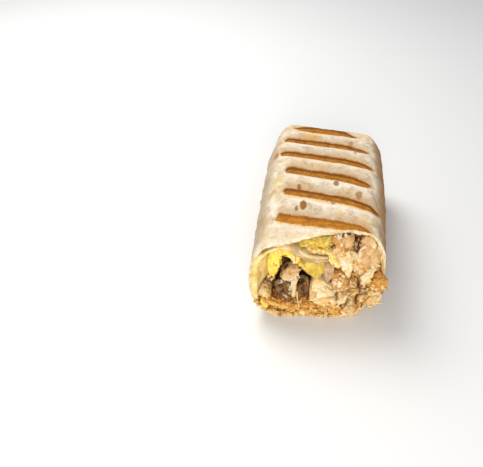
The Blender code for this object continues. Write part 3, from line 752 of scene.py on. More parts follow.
def scorched(place, colour, ragged):
    """The grill marks over a colour, and how much of each is there."""
    away, far, here = kept(place, "away_mark"), kept(place, "far_side"), kept(place, "mark_here")
    near_cut = kept(place, "mark_number").smooth(0.9, 0.1)
    edge = away - kept(place, "mark_half") + ragged * (1.4 - far * 0.7) + near_cut * ragged
    scorch = edge.smooth(0.45, -0.45) * here.smooth(0.25, 0.75)
    halo = edge.smooth(3.0 - far * 1.9, 0.0) * here.smooth(0.0, 0.6)
    blotch = place.grain(3.2 * MM, 8.0, 4, 0.6).smooth(0.36, 0.66)
    brown = blotch.blend(tone(196, 130, 38), tone(164, 100, 26))
    brown = (near_cut * 0.7).blend(brown, blotch.blend(tone(214, 144, 42), tone(184, 112, 28)))
    brown = (place.grain(0.8 * MM, 15.0, 2).smooth(0.52, 0.66) * 0.4).blend(brown, tone(128, 72, 16))
    # The dark line along each mark's far edge: partly scorch, partly painted shade for the groove's far wall
    rim = far * edge.smooth(-2.6, -1.0) * (1 - near_cut * 0.4)
    brown = (rim * 0.85).blend(brown, tone(108, 56, 12))
    brown = ((1 - far) * edge.smooth(-1.5, 0.1) * 0.6).blend(brown, tone(200, 140, 54))
    beside = here.smooth(0.0, 0.6)
    # Painted shade on the pillow just beyond each mark, then a painted highlight on the pillow just before it
    colour = (far * edge.smooth(6.5, 0.3) * beside * 0.60).blend(colour, tone(184, 154, 116))
    colour = ((1 - far) * edge.smooth(7.5, 1.0) * beside * 0.60).blend(colour, tone(255, 249, 238))
    colour = (halo * 0.8).blend(colour, far.blend(tone(238, 186, 102), tone(196, 134, 60)))
    return scorch.blend(colour, brown), scorch


# %% The dough outside and inside
def paint_dough(place, grey, dust):
    """Cream dough with its clouds, dust, freckles and stains. The right flank is browned and darkened with
    painted shade, and the left flank is greyed with painted shade.
    """
    warm = place.grain(12 * MM, 1.0, 4, 0.6).smooth(0.44, 0.60)
    freckle = place.grain(1.3 * MM, 4.0, 2).smooth(0.62, 0.76)
    fibre = (place * (1.0, 2.4, 1.6)).grain(2.0 * MM, 12.0, 3, 0.7)
    colour = warm.blend(tone(234, 217, 192), tone(230, 203, 160))
    colour = (grey * 0.6).blend(colour, tone(180, 146, 102))
    colour = (fibre.smooth(0.50, 0.66) * 0.25).blend(colour, tone(190, 148, 94))
    colour = (dust * 0.7).blend(colour, tone(252, 242, 224))
    colour = (freckle * 0.4).blend(colour, tone(200, 152, 96))
    low = place.dot((0, 0, 1)).smooth(35 * MM, 12 * MM)
    colour = (low * 0.5 * (1 - dust * 0.6)).blend(colour, tone(220, 176, 108))
    streak = place.dot((0.3, 1.0, 1.1)) / (5 * MM) + place.grain(9 * MM, 14.0, 3) * 5.0
    streak = streak.maths("SINE").smooth(0.1, 0.9)
    across = place.dot((1, 0, 0))
    flank = across.maths("ABSOLUTE").smooth(22 * MM, 30 * MM)
    colour = (flank * streak * 0.45).blend(colour, tone(184, 138, 78))
    # The right flank: browned, and darkened further with painted shade
    colour = (across.smooth(23 * MM, 31 * MM) * 0.92).blend(colour, tone(180, 120, 36))
    # The left flank: greyed with painted shade
    colour = (across.smooth(-23 * MM, -31 * MM) * 0.72).blend(colour, tone(178, 160, 134))
    for spot, reach, strength, stain in STAINS:
        away = (place - metres(spot)).length() + (grey - 0.5) * (2.5 * MM)
        colour = (away.smooth(reach * MM, reach * 0.25 * MM) * strength).blend(colour, tone(*stain))
    return colour


def paint_inside(place, inner, dust):
    """The sheet's inner face: soaked with sauce, duller on the tongue and yellower in the pocket."""
    sauce = place.grain(5 * MM, 9.0, 4, 0.6).smooth(0.42, 0.62)
    across = place.dot((1, 0, 0))
    turned_in = inner.smooth(0.3, 0.5) * inner.smooth(0.9, 0.7)
    tongue = turned_in * across.smooth(-16 * MM, -11 * MM)
    pocket = turned_in * across.smooth(-20 * MM, -25 * MM)
    colour = sauce.blend(tone(255, 238, 186), tone(246, 206, 132))
    colour = (dust * 0.4).blend(colour, tone(252, 238, 208))
    colour = (pocket * 0.7).blend(colour, sauce.blend(tone(255, 232, 150), tone(240, 194, 96)))
    return (tongue * 0.8).blend(colour, sauce.blend(tone(222, 192, 148), tone(184, 148, 102)))


# %% The whole finish
def paint_tortilla(place):
    inner, cut = kept(place, "inside"), kept(place, "cut_edge")
    drawn = place * (0.9, 1.0, 1.0)
    grey = drawn.grain(4 * MM, 2.0, 6, 0.7).smooth(0.47, 0.62)
    dust = drawn.grain(7 * MM, 3.0, 6, 0.7).smooth(0.48, 0.62)
    ragged = (place.grain(1.6 * MM, 5.0, 3) - 0.5) * 1.5
    colour, scorch = scorched(place, paint_dough(place, grey, dust), ragged)
    colour = (blistered(place, ragged) * (1 - scorch) * 0.95).blend(colour, tone(150, 96, 24))
    colour = inner.smooth(0.0, 0.5).blend(colour, paint_inside(place, inner, dust))
    stained = place.grain(4 * MM, 13.0, 3).smooth(0.46, 0.62)
    colour = (cut * 0.8).blend(colour, stained.blend(tone(255, 244, 218), tone(244, 206, 138)))
    foot = inner.maths("MAXIMUM", cut).smooth(0.2, 0.9) * place.dot((0, 0, 1)).smooth(7 * MM, 3 * MM)
    colour = (foot * 0.75).blend(colour, stained.blend(tone(244, 200, 116), tone(214, 156, 66)))
    crumpled = place.grain(2.4 * MM, 10.0, 4, 0.6) + 0.5 * place.grain(0.7 * MM, 11.0, 2)
    return {"Base Color": colour, "Roughness": 0.72 - scorch * 0.14 - inner * 0.25,
            "Normal": relief(place, crumpled, 0.9 * MM)}


tortilla_finish = finish("tortilla_skin", paint_tortilla, Specular_IOR_Level=0.12, Subsurface_Weight=0.03,
                         Subsurface_Radius=(0.8, 0.4, 0.2), Subsurface_Scale=0.002)
print("tortilla's finish has", len(tortilla_finish.node_tree.nodes), "nodes")


# %% Helpers for numbers kept on a mesh, and for faces
def keep_on(obj, label, values, domain="POINT"):
    """Keeps one number for each point or face."""
    obj.data.attributes.new(label, "FLOAT", domain).data.foreach_set("value", values)


def kept_on(obj, label):
    """The numbers that a tree kept on an object's points."""
    data = obj.data.attributes[label].data
    return [data[i].value for i in range(len(data))]


def turn_outwards(obj, smooth):
    """Turns every face of a closed mesh outwards, and shades it smoothly if asked."""
    shape = bmesh.new()
    shape.from_mesh(obj.data)
    bmesh.ops.recalc_face_normals(shape, faces=shape.faces)
    for face in shape.faces:
        face.smooth = smooth
    shape.to_mesh(obj.data)
    shape.free()


def triangles(obj):
    return sum(len(face.vertices) - 2 for face in obj.data.polygons)


# %% Press the marks
ON_TONGUE = 0.55  # the inner turn's own number on "inside", between the outside's 0 and the inside's 1
tortilla = add_object("tortilla_skin", points, faces)
spare = [0.0] * (len(points) - len(crowns))
keep_on(tortilla, "crown", crowns + spare)
keep_on(tortilla, "inside", insides + [0.0, 0.0] + [ON_TONGUE] * turn_count)
keep_on(tortilla, "cut_edge", cuts + spare)
turn_outwards(tortilla, smooth=False)
run_tree(press, tortilla, first_mark=-41.1 * MM, pitch=17.15 * MM, skew=RIB_SKEW, bend=2.6 * MM, count=6,
         left_end=-22.5 * MM, right_end=23.5 * MM, end_length=3 * MM, floor_half=2.0 * MM, edge_half=4.4 * MM,
         wall_share=0.65, puff=1.6 * MM, smear=2.4 * MM, material=tortilla_finish)
print("tortilla triangles:", triangles(tortilla))


# %% Say where each mark starts, ends and narrows
def mark_at(place, number, side, crown):
    """How much of its mark a point has, and half the mark's width there in mm."""
    left_end, right_end, half = MARKS[min(5, max(0, round(number)))]
    x = place.x / MM + 0.8 * wobble(*place, 3 * MM)
    there = smooth_between(left_end - 1.5, left_end + 1.5, x)
    there *= smooth_between(right_end + 2, right_end - 2, x)
    off_middle = min(1.0, abs(2 * x - left_end - right_end) / (right_end - left_end))
    rounded = 1 - off_middle ** (3 if number > 4.5 else 30 if x < 0 else 12)
    taper = 0.25 * smooth_between(right_end - 14, right_end, x) * (number > 0.5)
    if number < 0.5 and side < 0.5:  # the mark at the cut is narrower at its left end, on its near side
        rounded *= 0.5 + 0.5 * smooth_between(left_end, left_end + 18, x)
    uneven = 1 + 0.10 * wobble(*place, 7 * MM)
    return there * smooth_between(0.1, 0.5, crown), half * (rounded - taper) * uneven


heres, halves = [], []
rows = zip(tortilla.data.vertices, kept_on(tortilla, "mark_number"), kept_on(tortilla, "far_side"),
           crowns + spare, insides + [1.0] * len(spare))
for vert, number, side, crown, inner in rows:
    here, half = mark_at(vert.co, number, side, crown)
    heres.append(here * (inner == 0))
    halves.append(half)
keep_on(tortilla, "mark_here", heres)
keep_on(tortilla, "mark_half", halves)
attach(tortilla, "root")
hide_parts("tortilla")
print("points on a mark:", sum(here > 0.5 for here in heres))


# %% [markdown]
# ## Torn pieces of filling
# Every piece of chicken, egg, pepper and mushroom has its own solid in the CAD model, drawn with a few dozen
# faces. Here a copy of each is remeshed finely and roughened, so that the block becomes torn meat or a soft
# crumb. Meat tears along its grain, so its noise is stretched along one direction. Sculpting each piece would
# take a script of its own for every one, while one tree with named inputs serves them all.

# %% The tree that roughens a piece
roughen, given = new_tree("roughen_piece", [
    ("Lumps", "Float"), ("Lump Size", "Float"), ("Fibres", "Float"), ("Fibre Size", "Float"),
    ("Fibre Way", "Vector"), ("Crumbs", "Float"), ("Crumb Size", "Float"), ("Swell", "Float"),
    ("Seed", "Float"), ("Material", "Material")])


def tree_noise(place, detail, rough=0.5, output=0):
    """Noise in a tree, whose size is 1 at this place."""
    sockets = {"Vector": place, "W": given["Seed"], "Scale": 1.0, "Detail": detail, "Roughness": rough}
    return place.node("ShaderNodeTexNoise", {"noise_dimensions": "4D"}, sockets, output)


place = given["Geometry"].node("GeometryNodeInputPosition")
way = given["Fibre Way"]
lumps = tree_noise(place / given["Lump Size"], 1.5)
# The grain waves a little, and along it the noise is squeezed to an eighth
bent = place + tree_noise(place / (4 * MM), 1.0, output=1) * (1.6 * MM)
squeezed = (bent - way * bent.dot(way) * 0.88) / given["Fibre Size"]
fibres = tree_noise(squeezed, 2.5, 0.6)
ridges = 1 - (fibres - 0.5).maths("ABSOLUTE") * 4.0
cells = place.node("ShaderNodeTexVoronoi", {"voronoi_dimensions": "3D", "feature": "F1"},
                   {"Vector": place / given["Crumb Size"], "Scale": 1.0}, "Distance")
depth = given["Swell"] + given["Lumps"] * (lumps - 0.46) * 2.4
depth = depth + given["Fibres"] * (ridges - 0.72) + given["Crumbs"] * (0.35 - cells)
offset = place.node("GeometryNodeInputNormal") * depth
sockets = {"Geometry": given["Geometry"], "Offset": offset}
skin = given["Geometry"].node("GeometryNodeSetPosition", sockets=sockets)
skin = skin.node("GeometryNodeStoreNamedAttribute", {"data_type": "FLOAT", "domain": "POINT"},
                 {"Geometry": skin, "Name": "sunk", "Value": depth / MM})
skin = skin.node("GeometryNodeSetShadeSmooth", sockets={"Geometry": skin})
sockets = {"Geometry": skin, "Material": given["Material"]}
end_tree(roughen, skin.node("GeometryNodeSetMaterial", sockets=sockets))
print("roughen_piece has", len(roughen.nodes), "nodes")


# %% [markdown]
# ## Finishes of the filling
# Chopped grilled chicken is cream to tan with darker seams where the grain opens, and orange where the sauce
# soaked in. Egg is a clear yellow with tiny pores, pepper a glossy yellow-green, the mushroom dark brown with
# a grey cap. Each colour is a blend of a few tones by noise at the size that the real piece shows. Painted
# shade darkens the hollows of the roughened skin, read from its own depth, which flat noise alone couldn't
# find, and what lies deeper behind the cut. Pale patches on the meat are painted highlights.

# %% Chicken
def behind_cut(place):
    """How far a place lies behind the knife's cut, in metres. The finishes darken what lies deeper as painted
    shade.
    """
    return place.dot((-CUT_SKEW, 1.0, -CUT_LEAN)) - (CUT_Y + CUT_SKEW * WIDTH / 2)


def paint_meat(light, mid, dark, sauce, sauced):
    """Meat in three tones, with sauce that soaked into a share of it, painted highlights, and painted shade
    in its hollows and behind the cut.
    """
    light, mid, dark, sauce = (tone(*colour) for colour in (light, mid, dark, sauce))

    def paint(place):
        sunk = kept(place, "sunk")
        cloud = place.grain(5 * MM, 1.0, 3, 0.6).smooth(0.42, 0.58)
        thread = (place * (1.0, 0.4, 0.45)).grain(1.2 * MM, 2.0, 3, 0.6)
        colour = cloud.blend(light, mid)
        colour = (thread.smooth(0.52, 0.68) * 0.5).blend(colour, dark)
        soaked = place.grain(3.4 * MM, 3.0, 3, 0.6).smooth(0.62 - sauced * 0.3, 0.72 - sauced * 0.2)
        colour = (soaked * 0.7).blend(colour, sauce)
        # Pale patches of painted highlight
        painted_highlight = place.grain(2.6 * MM, 4.0, 3, 0.6).smooth(0.53, 0.62)
        colour = (painted_highlight * 0.75).blend(colour, tone(255, 242, 212))
        # Painted shade on what lies deeper behind the cut
        colour = (behind_cut(place).smooth(2.5 * MM, 8 * MM) * 0.6).blend(colour, dark)
        # Painted shade in the hollows of the roughened skin
        colour = (sunk.smooth(-0.15, -0.85) * 0.8).blend(colour, dark)
        colour = (sunk.smooth(-0.80, -1.4) * 0.7).blend(colour, tone(96, 52, 22))
        return {"Base Color": colour, "Roughness": 0.34 - soaked * 0.10 + thread * 0.2,
                "Normal": relief(place, thread, 0.5 * MM)}
    return paint


# Light goes a little way into flesh
flesh = {"Subsurface_Weight": 0.15, "Subsurface_Radius": (1.0, 0.5, 0.25), "Subsurface_Scale": 0.0015}
SAUCE, DARK_SAUCE = (212, 134, 48), (170, 92, 28)
# Each kind: its material's name, its light, middle and dark tone, its sauce and how much of it soaked in
MEAT_TONES = {
    "chicken": ("chicken_meat", (250, 214, 148), (226, 172, 96), (146, 90, 36), SAUCE, 0.45),
    "tan": ("chicken_tan", (226, 184, 120), (192, 142, 78), (112, 66, 26), SAUCE, 0.5),
    "olive": ("chicken_juicy", (232, 190, 118), (196, 146, 76), (100, 62, 26), SAUCE, 0.5),
    "grey": ("chicken_greyish", (222, 190, 146), (188, 150, 104), (118, 80, 46), SAUCE, 0.1),
    "band": ("egg_creamy", (252, 226, 140), (240, 200, 96), (176, 126, 44), SAUCE, 0.3),
    "pink": ("chicken_pinkish", (240, 202, 166), (216, 162, 124), (128, 78, 50), SAUCE, 0.2),
    "pale": ("chicken_pale", (252, 226, 174), (236, 194, 126), (166, 112, 54), SAUCE, 0.25),
    "smooth": ("chicken_sliced", (252, 228, 176), (240, 198, 126), (196, 134, 62), SAUCE, 0.0),
    "mixed": ("packed_filling", (206, 142, 72), (166, 100, 44), (60, 32, 14), DARK_SAUCE, 0.6),
}
finishes = {kind: finish(name, paint_meat(*tones), **flesh) for kind, (name, *tones) in MEAT_TONES.items()}
print("finishes of meat:", sorted(finishes))


# %% Egg, pepper, mushroom and breading
def paint_egg(place):
    cloud = place.grain(6 * MM, 1.0, 2).smooth(0.4, 0.62)
    pores = place.grain(0.9 * MM, 2.0, 2)
    colour = cloud.blend(tone(254, 236, 104), tone(252, 214, 80))
    colour = (pores.smooth(0.50, 0.66) * 0.55).blend(colour, tone(230, 166, 44))
    colour = (place.grain(1.6 * MM, 5.0, 3).smooth(0.54, 0.64) * 0.6).blend(colour, tone(255, 246, 150))
    # Painted shade in the egg's hollows
    colour = (kept(place, "sunk").smooth(-0.2, -0.8) * 0.7).blend(colour, tone(206, 138, 30))
    return {"Base Color": colour, "Roughness": 0.42 + pores * 0.2, "Normal": relief(place, pores, 0.35 * MM)}


def paint_pepper(place):
    cloud = place.grain(4 * MM, 1.0, 3).smooth(0.35, 0.68)
    green = place.grain(6 * MM, 2.0, 2).smooth(0.46, 0.62)
    pale = place.grain(1.3 * MM, 3.0, 3, 0.6).smooth(0.54, 0.64)
    orange = place.grain(2.0 * MM, 6.0, 3, 0.6).smooth(0.58, 0.70)
    wrinkle = place.grain(1.6 * MM, 4.0, 3)
    colour = cloud.blend(tone(240, 206, 84), tone(206, 164, 44))
    colour = (green * 0.7).blend(colour, tone(172, 150, 46))
    colour = (pale * 0.7).blend(colour, tone(255, 240, 158))
    colour = (orange * 0.6).blend(colour, tone(222, 160, 60))
    # Painted shade in the pepper's hollows
    colour = (kept(place, "sunk").smooth(-0.15, -0.6) * 0.8).blend(colour, tone(134, 98, 24))
    normal = relief(place, wrinkle, 0.4 * MM)
    return {"Base Color": colour, "Roughness": 0.28 + wrinkle * 0.2, "Normal": normal}


def paint_mushroom(place):
    low = place.dot((0, 0, 1)).smooth(11 * MM, 7 * MM)
    cloud = (place * (1.0, 1.0, 0.5)).grain(2.6 * MM, 1.0, 3).smooth(0.38, 0.6)
    colour = cloud.blend(tone(68, 42, 12), tone(150, 104, 42))
    colour = (low * 0.8).blend(colour, tone(160, 100, 36))
    # Painted shade, near black, on what lies deeper behind the cut
    colour = (behind_cut(place).smooth(2.5 * MM, 8 * MM) * 0.6).blend(colour, tone(26, 16, 10))
    crusty = place.grain(3.0 * MM, 5.0, 3, 0.6).smooth(0.52, 0.62)
    colour = (crusty * 0.6).blend(colour, tone(140, 86, 34))
    shine = place.grain(1.2 * MM, 2.0, 2).smooth(0.62, 0.72)
    colour = (shine * 0.3).blend(colour, tone(190, 170, 140))
    return {"Base Color": colour, "Roughness": 0.42 + cloud * 0.15, "Normal": relief(place, cloud, 0.3 * MM)}


def paint_slice(place):
    cloud = place.grain(3 * MM, 1.0, 3).smooth(0.4, 0.66)
    colour = cloud.blend(tone(190, 158, 118), tone(150, 112, 74))
    return {"Base Color": colour, "Roughness": 0.3 + cloud * 0.1, "Normal": relief(place, cloud, 0.25 * MM)}


def paint_breading(place):
    cloud = place.grain(2.4 * MM, 1.0, 3).smooth(0.36, 0.62)
    colour = cloud.blend(tone(240, 188, 94), tone(210, 146, 56))
    colour = (place.dot((1, 0, 0)).smooth(19 * MM, 25 * MM) * 0.6).blend(colour, tone(202, 132, 40))
    crust = place.grain(1.0 * MM, 2.0, 3, 0.6)
    colour = (crust.smooth(0.54, 0.64) * 0.6).blend(colour, tone(164, 96, 30))
    colour = (crust.smooth(0.47, 0.38) * 0.75).blend(colour, tone(252, 214, 138))
    return {"Base Color": colour, "Roughness": 0.6 + crust * 0.2, "Normal": relief(place, crust, 0.5 * MM)}


finishes["egg"] = finish("egg_yellow", paint_egg, **flesh)
finishes["pepper"] = finish("pepper_skin", paint_pepper, **flesh)
finishes["mushroom"] = finish("mushroom_dark", paint_mushroom)
finishes["slice"] = finish("mushroom_grey", paint_slice, **flesh)
finishes["breading"] = finish("fried_breading", paint_breading)
finishes["cap"] = finish("mushroom_cap", paint_meat((156, 122, 80), (108, 76, 42), (60, 38, 18), SAUCE, 0.0))
print("finishes:", sorted(finishes))

# %% [markdown]
# ## Dressing every piece
# The real pieces differ in kind more than in make: meat is lumpy and fibrous, egg is fine and soft, breading
# is all crumbs. So one table holds the roughness of each kind, and another gives each CAD node its kind, the
# slot it belongs to and the way its grain runs. The remesh is fine near the eye and coarser on the packed
# core, most of which is never seen.

# %% The roughness of each kind
# Lumps, fibres and crumbs, each as (height, size) in mm
TEXTURES = {
    "chicken": ((1.0, 4.6), (0.75, 2.4), (0.0, 1.5)),
    "pink": ((0.8, 4.6), (0.8, 2.4), (0.0, 1.4)),
    "pale": ((0.7, 4.6), (0.7, 2.4), (0.0, 1.4)),
    "grey": ((0.4, 3.4), (0.6, 2.0), (0.0, 1.4)),
    "tan": ((0.9, 4.0), (0.9, 2.2), (0.0, 1.4)),
    "olive": ((1.0, 3.8), (1.0, 2.2), (0.2, 1.4)),
    "smooth": ((0.3, 4.0), (0.45, 1.5), (0.0, 1.0)),
    "mixed": ((1.4, 4.0), (1.0, 1.8), (0.8, 2.0)),
    "egg": ((0.9, 2.6), (0.2, 1.2), (0.45, 1.4)),
    "band": ((1.1, 2.8), (0.3, 1.6), (0.3, 1.6)),
    "pepper": ((0.7, 3.0), (0.5, 2.0), (0.2, 1.4)),
    "mushroom": ((0.9, 3.0), (0.7, 1.4), (0.2, 1.2)),
    "slice": ((0.4, 3.0), (0.3, 1.2), (0.0, 1.0)),
    "breading": ((0.9, 2.4), (0.2, 1.0), (1.0, 1.5)),
}
# How far a kind swells. Most swell until they touch, and the core stays behind the pieces
SWELL_MOST = 0.15 * MM
SWELL = {"mushroom": 0.0, "mixed": -0.2 * MM, "slice": 0.1 * MM}
VOXEL, CORE_VOXEL = 0.36 * MM, 0.8 * MM
print(len(TEXTURES), "kinds of roughness")

# %% What each node is
# Each node: its kind, its slot and the way of its grain
DRESSED = {
    "pepper_upper": ("pepper", "pepper", (1, 0, 0.1)),
    "egg_band": ("band", "egg", (1, 0, -0.4)),
    "egg_layer": ("egg", "egg", (0.2, 0, 1)),
    "pepper_lower": ("pepper", "pepper", (0.7, 0, -0.6)),
    "chicken_top": ("tan", "chicken_pale", (0.2, 0.1, 1)),
    "chicken_centre": ("pale", "chicken_pale", (0.1, 0.2, 1)),
    "chicken_pink": ("pink", "chicken", (0.9, 0.2, 0.3)),
    "chicken_right": ("chicken", "chicken", (0.5, 0.1, -0.8)),
    "chicken_strip": ("pale", "chicken_pale", (0.3, 0, 1)),
    "crumb_lump_right": ("breading", "breading", (1, 0, 0)),
    "chicken_bottom_right": ("pale", "chicken_pale", (0.9, 0, 0.3)),
    "chicken_lower": ("olive", "chicken", (0.4, 0.2, 0.9)),
    "chicken_pale": ("grey", "chicken_pale", (0.4, 0, 0.9)),
    "mushroom_slice": ("slice", "mushroom_slice", (0.3, 0, 1)),
    "chicken_wedge": ("smooth", "chicken_pale", (0.75, 0.1, -0.65)),
    "chicken_under": ("pale", "chicken_pale", (1, 0, 0)),
    "crumb_lump_bottom": ("breading", "breading", (1, 0, 0)),
    "chicken_bottom_middle": ("pale", "chicken_pale", (0.9, 0, 0.4)),
    "chicken_bottom_bit": ("pale", "chicken_pale", (0.2, 0, 1)),
    "mushroom_left": ("mushroom", "mushroom", (0.3, 0, 1)),
    "mushroom_middle": ("mushroom", "mushroom", (0.2, 0, 1)),
    "chicken_flap": ("grey", "chicken_pale", (0.5, 0, 0.8)),
    "chicken_sliver": ("pale", "chicken_pale", (0.1, 0, 1)),
    "crumb_layer": ("breading", "breading", (1, 0, 0)),
    "egg_bit_low": ("egg", "egg", (1, 0, 0)),
    "chicken_left_low": ("pale", "chicken", (1, 0, 0.3)),
    "filling_core": ("mixed", "filling", (0.3, 0.2, 0.9)),
}
print(len(DRESSED), "pieces to dress")


# %% Copy, remesh and roughen each one
def close_copy(node, name, voxel):
    """A finely remeshed copy of a CAD node, softened so that its flat faces don't show."""
    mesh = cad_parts[node].data.copy()
    shape = bmesh.new()
    shape.from_mesh(mesh)
    bmesh.ops.remove_doubles(shape, verts=shape.verts, dist=1e-6)
    shape.to_mesh(mesh)
    shape.free()
    mesh.materials.clear()
    copy = bpy.data.objects.new(name, mesh)
    bpy.context.collection.objects.link(copy)
    fine = copy.modifiers.new("fine", "REMESH")
    fine.mode, fine.voxel_size, fine.adaptivity = "VOXEL", voxel, 0.0
    soft = copy.modifiers.new("soft", "SMOOTH")
    soft.factor, soft.iterations = 0.5, 2
    return copy


dressed = {}
for number, (node, (kind, slot_name, way)) in enumerate(DRESSED.items()):
    made = close_copy(node, node + "_torn", CORE_VOXEL if node == "filling_core" else VOXEL)
    (lump, lump_size), (fibre, fibre_size), (crumb, crumb_size) = TEXTURES[kind]
    run_tree(roughen, made, lumps=lump * MM, lump_size=lump_size * MM, fibres=fibre * MM,
             fibre_size=fibre_size * MM, fibre_way=tuple(Vector(way).normalized()), crumbs=crumb * MM,
             crumb_size=crumb_size * MM, swell=SWELL.get(kind, SWELL_MOST), seed=number * 1.7,
             material=finishes[kind])
    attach(made, "root")
    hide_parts(node)
    dressed[node] = made
counts = {node: triangles(made) for node, made in dressed.items()}
most_in = max(counts, key=counts.get)
print("filling triangles:", sum(counts.values()), "most in", most_in, counts[most_in])

# %% [markdown]
# ## Crumbs and shreds
# A knife leaves the cut covered with crumbs of breading, flakes of meat and loose shreds, which hide the
# seams between pieces. Laying each by hand would take a line for every crumb, so Geometry Nodes scatter them:
# the faces that look out of the cut are copied to one bed, points fall on it, and each point gets one of a
# few small shapes, turned and sized at random. The seeds are fixed, so they fall the same way each time.

# %% A few small shapes
def ring_shape(stations, sides, uneven, seed):
    """A closed lump or shred along X, over stations of (place, radius), each ring uneven by its own noise."""
    shapes = []
    for place, radius in stations:
        turns = [2 * math.pi * i / sides for i in range(sides)]
        ring = []
        for turn in turns:
            rough = noise.noise(Vector((3 * place, math.cos(turn), math.sin(turn) + seed)))
            reach = radius * (1 + uneven * rough)
            bend = 0.10 * math.sin(3 * place + seed)
            ring.append(Vector((place, reach * math.cos(turn) + bend, reach * math.sin(turn))))
        shapes.append(ring)
    first, last = stations[0][0] - stations[0][1] * 0.4, stations[-1][0] + stations[-1][1] * 0.4
    found = [p for ring in shapes for p in ring] + [Vector((first, 0, 0)), Vector((last, 0, 0))]
    sheets = join_rings(shapes)
    end = (len(shapes) - 1) * sides
    for i in range(sides):
        after = (i + 1) % sides
        sheets += [(len(found) - 2, after, i), (len(found) - 1, end + i, end + after)]
    return found, sheets


# Each outline along X, as (place, radius), with its number of sides and how uneven it is
LUMP = [(-0.36, 0.30), (-0.12, 0.47), (0.16, 0.45), (0.38, 0.27)]
SHRED = [(-0.5, 0.16), (-0.3, 0.36), (0.0, 0.46), (0.25, 0.38), (0.42, 0.26), (0.5, 0.10)]
FLAKE = [(-0.46, 0.12), (-0.28, 0.42), (-0.08, 0.30), (0.12, 0.48), (0.30, 0.24), (0.47, 0.14)]
SMALL = {"lump": (LUMP, 6, 1.1), "shred": (SHRED, 5, 0.9), "flake": (FLAKE, 7, 1.7)}
small_shapes = {}
for label, outline in SMALL.items():
    small_shapes[label] = [add_object(f"{label}_{i}", *ring_shape(*outline, 2.3 * i)) for i in range(3)]
print("faces of a lump, a shred and a flake:", [len(made[0].data.polygons) for made in small_shapes.values()])


# %% The bed that they lie on
OUT_OF_CUT = Vector((0.0, -0.88, 0.47))
# On the tortilla, bits lie on its foot only: above the table, below this height and left of this place
FOOT_LOW, FOOT_HIGH, FOOT_RIGHT = 0.3 * MM, 8 * MM, 16 * MM


def bed_of(name, amounts, reach):
    """The faces near the cut that look out of it, as one mesh, each with how much may lie on it."""
    spots, sheets, shares = [], [], []
    for node, amount in amounts.items():
        mesh = (tortilla if node == "tortilla" else dressed[node]).data
        for face in mesh.polygons:
            middle = face.center
            on_foot = FOOT_LOW <= middle.z <= FOOT_HIGH and middle.x <= FOOT_RIGHT
            if node == "tortilla" and not on_foot:
                continue
            if middle.y - cut_plane(middle.x, middle.z) < reach and face.normal.dot(OUT_OF_CUT) > 0.1:
                sheets.append(tuple(range(len(spots), len(spots) + len(face.vertices))))
                spots += [mesh.vertices[i].co for i in face.vertices]
                shares.append(amount)
    made = add_object(name, spots, sheets)
    keep_on(made, "amount", shares, "FACE")
    return made


# %% The tree that scatters
scatter, given = new_tree("scatter_bits", [
    ("Per Square Metre", "Float"), ("Least Size", "Vector"), ("Most Size", "Vector"), ("Lean", "Float"),
    ("Sink", "Float"), ("Seed", "Int"), ("Shape One", "Object"), ("Shape Two", "Object"),
    ("Shape Three", "Object"), ("Material", "Material")])
bed = given["Geometry"]
amount = bed.node("GeometryNodeInputNamedAttribute", {"data_type": "FLOAT"}, {"Name": "amount"})
spots = bed.node("GeometryNodeDistributePointsOnFaces", None,
                 {"Mesh": bed, "Density": amount * given["Per Square Metre"], "Seed": given["Seed"]})


def at_random(kind, least, most, seed):
    """One random value for each bit, between two limits. Each kind has sockets of its own."""
    low, output = {"FLOAT_VECTOR": (0, 0), "FLOAT": (2, 1), "INT": (4, 2)}[kind]
    sockets = {low: least, low + 1: most, "Seed": seed}
    return bed.node("FunctionNodeRandomValue", {"data_type": kind}, sockets, output)


# Every bit is turned any way about its own height, and leans a little
lean = given["Lean"]
least_turn = lean.node("ShaderNodeCombineXYZ", sockets={"X": -lean, "Y": -lean, "Z": -3.1416})
most_turn = lean.node("ShaderNodeCombineXYZ", sockets={"X": lean, "Y": lean, "Z": 3.1416})
spin = at_random("FLOAT_VECTOR", least_turn, most_turn, 3)
spin = spin.node("FunctionNodeEulerToRotation", sockets={0: spin})
turned = spin.node("FunctionNodeRotateRotation", {"rotation_space": "LOCAL"},
                   {"Rotation": spots.also("Rotation"), "Rotate By": spin})
size = at_random("FLOAT_VECTOR", given["Least Size"], given["Most Size"], 5)
pick = at_random("INT", 0, 2, 7)
tint = at_random("FLOAT", 0.0, 1.0, 9)

# %% The same tree: put a shape on each point, sink it a little and keep its tint
gather = scatter.nodes.new("GeometryNodeJoinGeometry")
for label in ("Shape One", "Shape Two", "Shape Three"):
    sockets = {"Object": given[label], "As Instance": True}
    shape = given[label].node("GeometryNodeObjectInfo", None, sockets, "Geometry")
    scatter.links.new(shape.socket, gather.inputs[0])
bits = bed.node("GeometryNodeInstanceOnPoints", None, {
    "Points": spots, "Instance": Wire(scatter, gather.outputs[0]), "Pick Instance": True,
    "Instance Index": pick, "Rotation": turned, "Scale": size})
down = given["Sink"].node("ShaderNodeCombineXYZ", sockets={"Z": -given["Sink"]})
sockets = {"Instances": bits, "Translation": down, "Local Space": True}
bits = bits.node("GeometryNodeTranslateInstances", None, sockets)
bits = bits.node("GeometryNodeStoreNamedAttribute", {"data_type": "FLOAT", "domain": "INSTANCE"},
                 {"Geometry": bits, "Name": "tint", "Value": tint})
bits = bits.node("GeometryNodeRealizeInstances", None, {"Geometry": bits})
bits = bits.node("GeometryNodeSetShadeSmooth", sockets={"Geometry": bits})
sockets = {"Geometry": bits, "Material": given["Material"]}
end_tree(scatter, bits.node("GeometryNodeSetMaterial", sockets=sockets))
print("scatter_bits has", len(scatter.nodes), "nodes")


